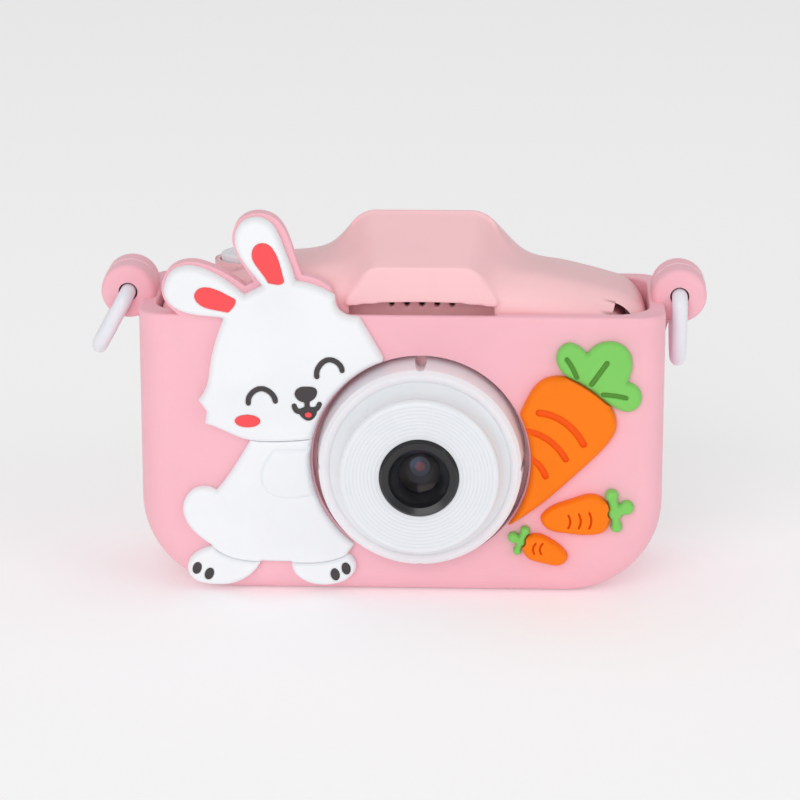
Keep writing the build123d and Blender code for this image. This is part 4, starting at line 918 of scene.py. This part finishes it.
# ------------------------------------------------------------------------------ sub-assemblies
@dataclass
class Relief:
    """One raised soft piece and the flat inlays set into it."""

    node: str
    finish: Palette
    edge: float = 1.0
    swell: float = 0.12
    voxel: float = 0.2
    groove_from: float = 0.0
    stands_for: tuple[str, ...] = ()
    inlays: dict[str, Palette] = field(default_factory=dict)
    hidden_edges: tuple[str, ...] = ()
    open_grooves: bool = False
    shared_gap: float = 0.25
    inlay_voxel: float = 0.09
    groove_depth: float = 0.45
    groove_skin: float = 0.4
    groove_inset: float = 0.35
    rim_inset: float = 0.3

    def crown(self) -> Crown:
        """The height rule from this piece's free edge, without edges shared with its neighbours.

        Returns:
            The rule.
        """
        rim = rim_of(self.node)
        for other in self.hidden_edges:
            tree = search_tree(rim_of(other))
            rim = [place for place in rim if tree.find(place)[2] > self.shared_gap]
        return Crown(rim, self.edge, self.swell)

    def build(self) -> list[bpy.types.Object]:
        """Make the soft piece and its inlays.

        Returns:
            The pieces made.
        """
        crown = self.crown()
        mesh = evenly_meshed(self.node, self.voxel, 3)
        points = points_of(mesh)
        if self.groove_from:
            self.mark_grooves(mesh, points, crown)
        set_points(mesh, crown.raise_points(points))
        piece = link(self.node + "_relief", mesh)
        dress(piece, self.finish)
        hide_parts(self.node, *self.stands_for)
        made = [piece]
        for node, finish in self.inlays.items():
            inset = evenly_meshed(node, self.inlay_voxel, 2)
            set_points(inset, crown.raise_points(points_of(inset)))
            part = link(node + "_inset", inset)
            dress(part, finish)
            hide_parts(node)
            made.append(part)
        return made

    def mark_grooves(self, mesh: bpy.types.Mesh, points: np.ndarray, crown: Crown) -> None:
        """Store how deep each point lies in a groove, for the finish to darken.

        Args:
            mesh: The piece's mesh.
            points: Its points before they are raised.
            crown: The height rule, for the distance from the rim.
        """
        margin = self.rim_inset if self.open_grooves else self.groove_inset
        depth = []
        for x, y, z in points:
            low = (y - (FRONT_Y - self.groove_from)) / self.groove_depth
            marked = y < FRONT_Y - self.groove_skin and crown.from_rim(x, z) >= margin
            depth.append(min(max(low, 0.0), 1.0) if marked else 0.0)
        mesh.attributes.new("groove", "FLOAT", "POINT").data.foreach_set("value", depth)


def raised_on(body: str, reliefs: Iterable[Relief]) -> list[bpy.types.Object]:
    """Build reliefs and set them on one body.

    Args:
        body: The body that carries them.
        reliefs: The reliefs.

    Returns:
        Every piece made.
    """
    made = [piece for relief in reliefs for piece in relief.build()]
    for piece in made:
        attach(piece, body)
    return made


@dataclass
class Rabbit:
    """The raised rabbit: head with ears, body, arm and feet, and their coloured inlays."""

    swell: float = 0.1

    def build(self) -> list[bpy.types.Object]:
        """Make every piece of the rabbit and set it on the sleeve.

        Returns:
            The pieces made.
        """
        face = {"ear_inlays": Palette.INLAY_RED, "rabbit_eyes": Palette.INLAY_BLACK,
                "rabbit_muzzle": Palette.INLAY_BLACK, "rabbit_tongue": Palette.INLAY_RED,
                "rabbit_cheek": Palette.INLAY_RED}
        return raised_on(MAIN_BODY, (
            Relief("rabbit_head", Palette.RABBIT, edge=1.1, swell=self.swell, inlays=face),
            Relief("rabbit_body", Palette.RABBIT, swell=self.swell,
                   hidden_edges=("rabbit_head", "rabbit_feet")),
            Relief("rabbit_feet", Palette.RABBIT, edge=0.9, swell=self.swell,
                   inlays={"toe_pads": Palette.INLAY_BLACK}),
            Relief("rabbit_arm", Palette.RABBIT, swell=self.swell, voxel=0.15,
                   hidden_edges=("rabbit_head",)),
        ))


@dataclass
class Carrots:
    """Three raised carrots with furrows, and their leaves."""

    furrow: float = 1.8
    vein: float = 1.4

    def build(self) -> list[bpy.types.Object]:
        """Make every carrot and leaf and set it on the sleeve.

        Returns:
            The pieces made.
        """
        return raised_on(MAIN_BODY, (
            Relief("big_carrot", Palette.CARROT, edge=1.1, swell=0.25, voxel=0.13,
                   groove_from=self.furrow, open_grooves=True, stands_for=("carrot_grooves",),
                   hidden_edges=("big_leaf", "carrot_grooves")),
            Relief("medium_carrot", Palette.CARROT, edge=0.9, swell=0.2, voxel=0.12,
                   groove_from=self.furrow, hidden_edges=("medium_leaf",)),
            Relief("small_carrot", Palette.CARROT, edge=0.8, swell=0.2, voxel=0.12,
                   groove_from=self.furrow, hidden_edges=("small_leaf",)),
            Relief("big_leaf", Palette.LEAF, edge=0.9, swell=0.1, voxel=0.15,
                   groove_from=self.vein, open_grooves=True, stands_for=("leaf_veins",)),
            Relief("medium_leaf", Palette.LEAF, edge=0.6, swell=0.1, voxel=0.12),
            Relief("small_leaf", Palette.LEAF, edge=0.5, swell=0.1, voxel=0.1),
        ))


@dataclass
class Sleeve:
    """The soft sleeve, with the fine bead that its mould left round each strap loop, drawn in a lighter
    pink as a painted highlight.
    """

    loop_x: float = 47.6
    loop_z: float = 51.0
    loop_r: float = 4.7
    bead_r: float = 0.11
    bead_sunk: float = 0.02
    bead_sweep: float = 228.0
    left_start: float = 30.0
    right_start: float = -78.0

    def bead_tree(self) -> GeometrySheet:
        """A thin round bead along an arc that stands on its edge.

        Returns:
            The tree.
        """
        sheet = GeometrySheet("mould_bead", {"Radius": 0.0047, "Start": 0.0, "Sweep": 4.0, "Wire": 0.0001})
        arc = sheet.node("GeometryNodeCurveArc", None, {
            "Resolution": 72, "Radius": sheet.given("Radius"), "Start Angle": sheet.given("Start"),
            "Sweep Angle": sheet.given("Sweep")})
        # The bead's lighter pink is a painted highlight.
        sheet.close(sheet.wired(arc.outputs[0], 8, True), Palette.BEAD_HIGHLIGHT)
        return sheet

    def build(self) -> list[bpy.types.Object]:
        """Make the bead round each loop.

        Returns:
            The two beads.
        """
        tree = self.bead_tree()
        made = []
        for name, side, start in (("left", -1, self.left_start), ("right", 1, self.right_start)):
            bead = tree.make("mould_bead_" + name, {
                "Radius": (self.loop_r - self.bead_sunk) * MM, "Start": math.radians(start),
                "Sweep": math.radians(self.bead_sweep), "Wire": self.bead_r * MM,
            }, (side * self.loop_x, 0.0, self.loop_z))
            mount(bead, MAIN_BODY)
            made.append(bead)
        return made

    def dress(self) -> None:
        """Give the sleeve its finish."""
        dress(node_object("sleeve"), Palette.PINK_SLEEVE)


@dataclass
class LensStack:
    """Ring, barrel, hood, glass and sensor housing, and the fine ridges on the barrel's face."""

    centre: tuple[float, float] = (3.4, 24.5)
    face_y: float = -25.7
    first_ridge: float = 7.5
    ridge_pitch: float = 0.62
    ridge_count: int = 9
    ridge_wire: float = 0.1
    ridge_sunk: float = 0.055

    def ridge_tree(self) -> GeometrySheet:
        """Concentric rings laid on a flat face, each a round wire half sunk in it.

        Returns:
            The tree.
        """
        sheet = GeometrySheet("face_ridges", {
            "First Radius": 0.0075, "Pitch": 0.0006, "Count": 9, "Wire": 0.0001})
        line = sheet.node("GeometryNodeMeshLine", {"mode": "OFFSET"}, {
            "Count": sheet.given("Count"), "Offset": (0.0, 0.0, 0.0)})
        circle = sheet.node("GeometryNodeCurvePrimitiveCircle", None, {"Resolution": 96, "Radius": 1.0})
        number = sheet.node("GeometryNodeInputIndex")
        step = sheet.node("ShaderNodeMath", {"operation": "MULTIPLY"}, {
            0: number.outputs[0], 1: sheet.given("Pitch")})
        radius = sheet.node("ShaderNodeMath", {"operation": "ADD"}, {
            0: step.outputs[0], 1: sheet.given("First Radius")})
        spread = sheet.node("GeometryNodeInstanceOnPoints", None, {
            "Points": line.outputs[0], "Instance": circle.outputs[0], "Scale": radius.outputs[0]})
        loose = sheet.node("GeometryNodeRealizeInstances", None, {0: spread.outputs[0]})
        # The ridges' darker white is painted shade.
        sheet.close(sheet.wired(loose.outputs[0], 6, False), Palette.BARREL_RIDGE_SHADED)
        return sheet

    def build(self) -> list[bpy.types.Object]:
        """Make the ridges on the barrel's face.

        Returns:
            The ridges, as one piece.
        """
        ridges = self.ridge_tree().make("barrel_ridges", {
            "First Radius": self.first_ridge * MM, "Pitch": self.ridge_pitch * MM,
            "Count": self.ridge_count, "Wire": self.ridge_wire * MM,
        }, (self.centre[0], self.face_y + self.ridge_sunk, self.centre[1]))
        mount(ridges, MAIN_BODY)
        return [ridges]

    def dress(self) -> None:
        """Give the lens's CAD nodes their finishes."""
        dress_nodes({
            "lens_ring": Palette.LENS_RING, "lens_barrel": Palette.WHITE, "lens_hood": Palette.BLACK,
            "lens_glass": Palette.LENS_GLASS, "lens_iris": Palette.DARK_RED,
            "camera_module": Palette.MATTE_BLACK, "rear_lens_ring": Palette.WHITE,
            "rear_lens_glass": Palette.LENS_GLASS, "rear_camera": Palette.MATTE_BLACK,
        })


@dataclass
class HardCase:
    """Front and rear shells, whose hump runs into the shoulders in a hollow curve, and their screws."""

    cut_z: float = 46.0
    split_y: float = 1.0
    voxel: float = 0.3
    hump_x: float = 3.4
    blend_reach: float = 6.2
    blend_passes: int = 260
    blend_factor: float = 0.9
    blend_gain: float = 1.6
    crease: tuple[tuple[float, float, float], ...] = (
        (12.6, -8.2, 56.3), (13.2, -6.5, 56.7), (14.8, -2.6, 57.0), (16.4, 1.0, 56.9),
        (17.2, 5.1, 56.3), (17.3, 9.8, 55.5), (17.6, 12.0, 53.6), (17.9, 12.7, 51.5))
    crease_steps: int = 8
    flank: float = 28.5
    overlap: float = 0.3
    sharp_from: float = 32.0

    def part(self, node: str, above: bool) -> bmesh.types.BMesh:
        """One shell's material above or below the cut, closed at the cut.

        Args:
            node: The shell's CAD node.
            above: Whether the upper part is kept.

        Returns:
            The part, as a mesh in work.
        """
        work = bmesh.new()
        mesh = merged_copy(node)
        work.from_mesh(mesh)
        bpy.data.meshes.remove(mesh)
        return cut(work, (0.0, 0.0, self.cut_z), (0.0, 0.0, 1.0 if above else -1.0))

    def flank_part(self, node: str, side: float) -> bmesh.types.BMesh:
        """One shell's upper part beyond the flank on one side."""
        return cut(self.part(node, True), (self.hump_x + side * self.flank, 0.0, 0.0), (side, 0.0, 0.0))

    def crease_points(self) -> list[tuple[float, float, float]]:
        """Close points along the two lines where the hump meets the shoulders.

        Returns:
            Points in millimetres, on both sides of the hump.
        """
        points = []
        for a, b in zip(self.crease, self.crease[1:]):
            for step in range(self.crease_steps):
                x, y, z = (a[n] + (b[n] - a[n]) * step / self.crease_steps for n in range(3))
                points += [(self.hump_x + x, y, z), (self.hump_x - x, y, z)]
        return points

    def joined_upper(self) -> bpy.types.Mesh:
        """Both shells' upper parts in one mesh, made to overlap at the split.

        Returns:
            The mesh.
        """
        both = bpy.data.meshes.new("upper_case")
        joined = bmesh.new()
        for node, shift in (("front_shell", 0.0), ("rear_shell", -self.overlap)):
            piece = self.part(node, True)
            for vert in piece.verts:
                if abs(vert.co.y / MM - self.split_y) < 0.01:
                    vert.co.y += shift * MM
            piece.to_mesh(both)
            joined.from_mesh(both)
            piece.free()
        joined.to_mesh(both)
        joined.free()
        return both

    def upper(self) -> bpy.types.Mesh:
        """The upper case in one even mesh, with the creases drawn out into hollow curves.

        Returns:
            The mesh.
        """
        work = link("upper_case_work", self.joined_upper())
        remesh = work.modifiers.new("remesh", "REMESH")
        remesh.mode = "VOXEL"
        remesh.voxel_size = self.voxel * MM
        even = baked(work, "upper_case_even")
        work.modifiers.clear()
        work.data = even
        near = search_tree(self.crease_points())
        group = work.vertex_groups.new(name="blend")
        for number, point in enumerate(points_of(even)):
            share = 1 - near.find(point)[2] / self.blend_reach
            if share > 0:
                group.add([number], min(1.0, self.blend_gain * share), "REPLACE")
        ease = work.modifiers.new("blend", "SMOOTH")
        ease.vertex_group = "blend"
        ease.factor = self.blend_factor
        ease.iterations = self.blend_passes
        every = work.modifiers.new("ease", "SMOOTH")
        every.factor = 0.5
        every.iterations = 2
        mesh = baked(work, "upper_case_soft")
        bpy.data.objects.remove(work)
        return mesh

    def shell(self, node: str, side: float, upper: bpy.types.Mesh) -> bpy.types.Mesh:
        """One shell: the soft middle cut at the split and the flanks, and the plain rest.

        Args:
            node: The shell's CAD node.
            side: -1 for the front shell and 1 for the rear one.
            upper: The soft upper case.

        Returns:
            The shell's mesh.
        """
        work = bmesh.new()
        work.from_mesh(upper)
        cut(work, (0.0, self.split_y, 0.0), (0.0, side, 0.0))
        for end in (-1.0, 1.0):
            cut(work, (self.hump_x + end * self.flank, 0.0, 0.0), (-end, 0.0, 0.0))
        mesh = bpy.data.meshes.new(node + "_soft")
        for rest in (self.part(node, False), self.flank_part(node, -1.0), self.flank_part(node, 1.0)):
            rest.to_mesh(mesh)
            rest.free()
            work.from_mesh(mesh)
        work.to_mesh(mesh)
        work.free()
        for face in mesh.polygons:
            face.use_smooth = True
        mesh.set_sharp_from_angle(angle=math.radians(self.sharp_from))
        return mesh

    def build(self) -> list[bpy.types.Object]:
        """Make both shells, with the shading of flat faces kept flat.

        Returns:
            The two shells.
        """
        upper = self.upper()
        made = []
        for node, side in (("front_shell", -1.0), ("rear_shell", 1.0)):
            piece = link(node + "_soft", self.shell(node, side, upper))
            flatter = piece.modifiers.new("flat_faces_stay_flat", "WEIGHTED_NORMAL")
            flatter.keep_sharp = True
            piece.data = baked(piece, node + "_soft")
            piece.modifiers.clear()
            dress(piece, Palette.PINK_CASE)
            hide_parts(node)
            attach(piece, MAIN_BODY)
            made.append(piece)
        return made

    def dress(self) -> None:
        """Give the screws their finish."""
        dress(node_object("shell_screws"), Palette.STEEL)


@dataclass
class RearPanel:
    """Screen, keys and the marks printed on the keys."""

    pad: tuple[float, float] = (-25.0, 20.0)
    cap_y: float = 13.7
    arrow_reach: float = 7.5
    arrow_size: float = 0.95
    play_size: float = 1.1
    small_z: float = 37.0
    small_pitch: float = 7.5
    stroke: float = 0.17

    def arrow_tree(self) -> GeometrySheet:
        """A thin three-cornered mark, set out from the pad's centre and turned about it.

        Returns:
            The tree.
        """
        sheet = GeometrySheet("arrow_mark", {"Size": 0.001, "Reach": 0.0075, "Turn": 0.0})
        corner = sheet.node("GeometryNodeMeshCylinder", None, {
            "Vertices": 3, "Radius": sheet.given("Size"), "Depth": 0.00006})
        out = sheet.moved(corner.outputs[0], Translation=sheet.vector({0: sheet.given("Reach")}))
        turned = sheet.moved(out, Rotation=sheet.vector({2: sheet.given("Turn")}))
        sheet.close(turned, Palette.LEGEND)
        return sheet

    def stroke_tree(self) -> GeometrySheet:
        """A thin printed arc with a bar or a dot in it.

        Returns:
            The tree.
        """
        sheet = GeometrySheet("arc_mark", {
            "Radius": 0.001, "Start": 0.0, "Sweep": 5.0, "Bar Low": 0.0, "Bar High": 0.001, "Wire": 0.0002})
        arc = sheet.node("GeometryNodeCurveArc", None, {
            "Resolution": 32, "Radius": sheet.given("Radius"), "Start Angle": sheet.given("Start"),
            "Sweep Angle": sheet.given("Sweep")})
        bar = sheet.node("GeometryNodeCurvePrimitiveLine", None, {
            "Start": sheet.vector({1: sheet.given("Bar Low")}),
            "End": sheet.vector({1: sheet.given("Bar High")})})
        both = sheet.node("GeometryNodeJoinGeometry")
        sheet.tree.links.new(arc.outputs[0], both.inputs[0])
        sheet.tree.links.new(bar.outputs[0], both.inputs[0])
        wire = sheet.wired(both.outputs[0], 8, True)
        sheet.close(sheet.moved(wire, Scale=(1.0, 1.0, 0.2)), Palette.LEGEND)
        return sheet

    def arrows(self, tree: GeometrySheet) -> list[tuple[str, bpy.types.Object]]:
        """The pad's four arrows.

        Args:
            tree: The arrow's tree.

        Returns:
            The body that carries each mark, and the mark.
        """
        return [(body, tree.make(body + "_mark", {
            "Size": self.arrow_size * MM, "Reach": self.arrow_reach * MM, "Turn": math.radians(turn),
        }, (self.pad[0], self.cap_y, self.pad[1])))
            for body, turn in (("right", 0.0), ("up", 90.0), ("left", 180.0), ("down", 270.0))]

    def strokes(self) -> list[tuple[str, bpy.types.Object]]:
        """The power sign, and the ringed dots of the photo and middle keys.

        Returns:
            The body that carries each mark, and the mark.
        """
        tree = self.stroke_tree()
        marks = (
            ("power", (0.0, self.small_z), 1.05, (120, 300), (0.3, 1.3)),
            ("photo_video", (-self.small_pitch, self.small_z), 1.1, (0, 360), (-0.08, 0.08)),
            ("ok", (0.0, self.pad[1]), 1.5, (0, 360), (-0.05, 0.05)),
        )
        return [(body, tree.make(body + "_mark", {
            "Radius": radius * MM, "Start": math.radians(start), "Sweep": math.radians(sweep),
            "Bar Low": low * MM, "Bar High": high * MM, "Wire": self.stroke * MM,
        }, (self.pad[0] + shift, self.cap_y, z)))
            for body, (shift, z), radius, (start, sweep), (low, high) in marks]

    def build(self) -> list[bpy.types.Object]:
        """Make the marks on the keys, each riding with its own key.

        Returns:
            The marks.
        """
        tree = self.arrow_tree()
        marks = self.arrows(tree) + self.strokes()
        marks.append(("album", tree.make("album_mark", {
            "Size": self.play_size * MM, "Reach": 0.0, "Turn": math.radians(180.0),
        }, (self.pad[0] + self.small_pitch, self.cap_y, self.small_z))))
        for body, mark in marks:
            mount(mark, body)
            for face in mark.data.polygons:
                face.use_smooth = False
        return [mark for _, mark in marks]

    def dress(self) -> None:
        """Give the screen and keys their finishes."""
        keys = ("up", "down", "left", "right", "ok", "photo_video", "power", "album")
        dress_nodes({"display_window": Palette.SCREEN, "display_panel": Palette.DISPLAY,
                     "shutter_button": Palette.WHITE, **{key + "_key": Palette.WHITE for key in keys}})


@dataclass
class StrapRings:
    """The two D-shaped rings."""

    sides: tuple[str, ...] = ("left", "right")

    def dress(self) -> None:
        """Give the rings their finish."""
        dress_nodes({"ring_" + side: Palette.RING for side in self.sides})


@dataclass
class Electronics:
    """Everything inside the case and its two ports."""

    def dress(self) -> None:
        """Give the inner parts their finishes."""
        dress_nodes({
            "main_board": Palette.BOARD, "shutter_board": Palette.BOARD, "board_screws": Palette.STEEL,
            "tact_switches": Palette.MATTE_BLACK, "battery": Palette.FOIL,
            "speaker": Palette.MATTE_BLACK, "usb_socket": Palette.STEEL,
            "card_socket": Palette.STEEL, "memory_card": Palette.MATTE_BLACK,
        })


@dataclass
class Studio:
    """Pale floor, soft lights and the camera."""

    azimuth: float = 2.0
    elevation: float = 16.5
    distance: float = 600.0
    aim: tuple[float, float, float] = (-0.7, 0.0, 30.6)
    lens: float = 153.9
    sky: float = 0.55
    floor_half: float = 6.0

    def floor(self) -> bpy.types.Object:
        """A wide pale floor.

        Returns:
            The floor.
        """
        sheet = ShaderSheet("studio_floor")
        cloud = sheet.noise(400.0, 2.0)
        sheet.surface(
            {"Specular IOR Level": 0.2, "Emission Color": (1.0, 1.0, 1.0, 1.0), "Emission Strength": 0.16},
            {"Base Color": sheet.blend(cloud * 0.3, linear((250, 250, 251)), linear((246, 246, 248))),
             "Roughness": 0.75 + cloud * 0.1})
        mesh = bpy.data.meshes.new("studio_floor")
        work = bmesh.new()
        bmesh.ops.create_grid(work, x_segments=8, y_segments=8, size=self.floor_half)
        work.to_mesh(mesh)
        work.free()
        floor = link("studio_floor", mesh)
        floor.data.materials.append(sheet.material)
        return floor

    def lamp(self, name: str, place: tuple[float, float, float], size: float, power: float) -> None:
        """Add one soft square lamp that faces the camera model.

        Args:
            name: The lamp's name.
            place: Where it hangs, in metres.
            size: Its side, in metres.
            power: Its power, in watts.
        """
        light = bpy.data.lights.new(name, "AREA")
        light.size = size
        light.energy = power
        lamp = bpy.data.objects.new(name, light)
        lamp.location = place
        lamp.rotation_euler = (Vector((0, 0, 0.03)) - lamp.location).to_track_quat("-Z", "Y").to_euler()
        bpy.context.scene.collection.objects.link(lamp)

    def lights(self) -> None:
        """Soft sky and three large lamps."""
        world = bpy.data.worlds.new("studio_sky")
        world.use_nodes = True
        background = world.node_tree.nodes["Background"]
        background.inputs["Color"].default_value = (1.0, 1.0, 1.0, 1.0)
        background.inputs["Strength"].default_value = self.sky
        bpy.context.scene.world = world
        self.lamp("front_lamp", (-0.35, -1.2, 0.55), 0.9, 5.5)
        self.lamp("side_lamp", (0.9, -0.7, 0.55), 0.7, 1.7)
        self.lamp("top_lamp", (0.0, 0.35, 1.2), 0.9, 1.2)

    def camera(self) -> None:
        """Place the camera on its line of sight."""
        turn, rise = math.radians(self.azimuth), math.radians(self.elevation)
        back = Vector((math.sin(turn) * math.cos(rise), -math.cos(turn) * math.cos(rise), math.sin(rise)))
        data = bpy.data.cameras.new("view")
        data.lens = self.lens
        data.sensor_width = 36.0
        data.clip_start = 0.01
        data.clip_end = 30.0
        eye = bpy.data.objects.new("view", data)
        eye.location = (Vector(self.aim) + back * self.distance) * MM
        eye.rotation_euler = (-back).to_track_quat("-Z", "Y").to_euler()
        bpy.context.scene.collection.objects.link(eye)
        bpy.context.scene.camera = eye

    def build(self) -> None:
        """Set up the floor, the lights and the camera, with colours shown as they are."""
        bpy.context.scene.view_settings.view_transform = "Standard"
        self.floor()
        self.lights()
        self.camera()


def main() -> None:
    """Load the frame, build and dress every sub-assembly, and log each built piece's face count."""
    logging.basicConfig(level=logging.INFO, format="%(message)s")
    FRAME.update(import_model())
    Studio().build()
    for assembly in (Sleeve(), HardCase(), Rabbit(), Carrots(), LensStack(), RearPanel()):
        for piece in assembly.build():
            log.info("%s: %d faces", piece.name, len(piece.data.polygons))
    for assembly in (Sleeve(), LensStack(), HardCase(), RearPanel(), StrapRings(), Electronics()):
        assembly.dress()
        log.info("%s dressed", type(assembly).__name__)


if __name__ == "__main__":
    main()
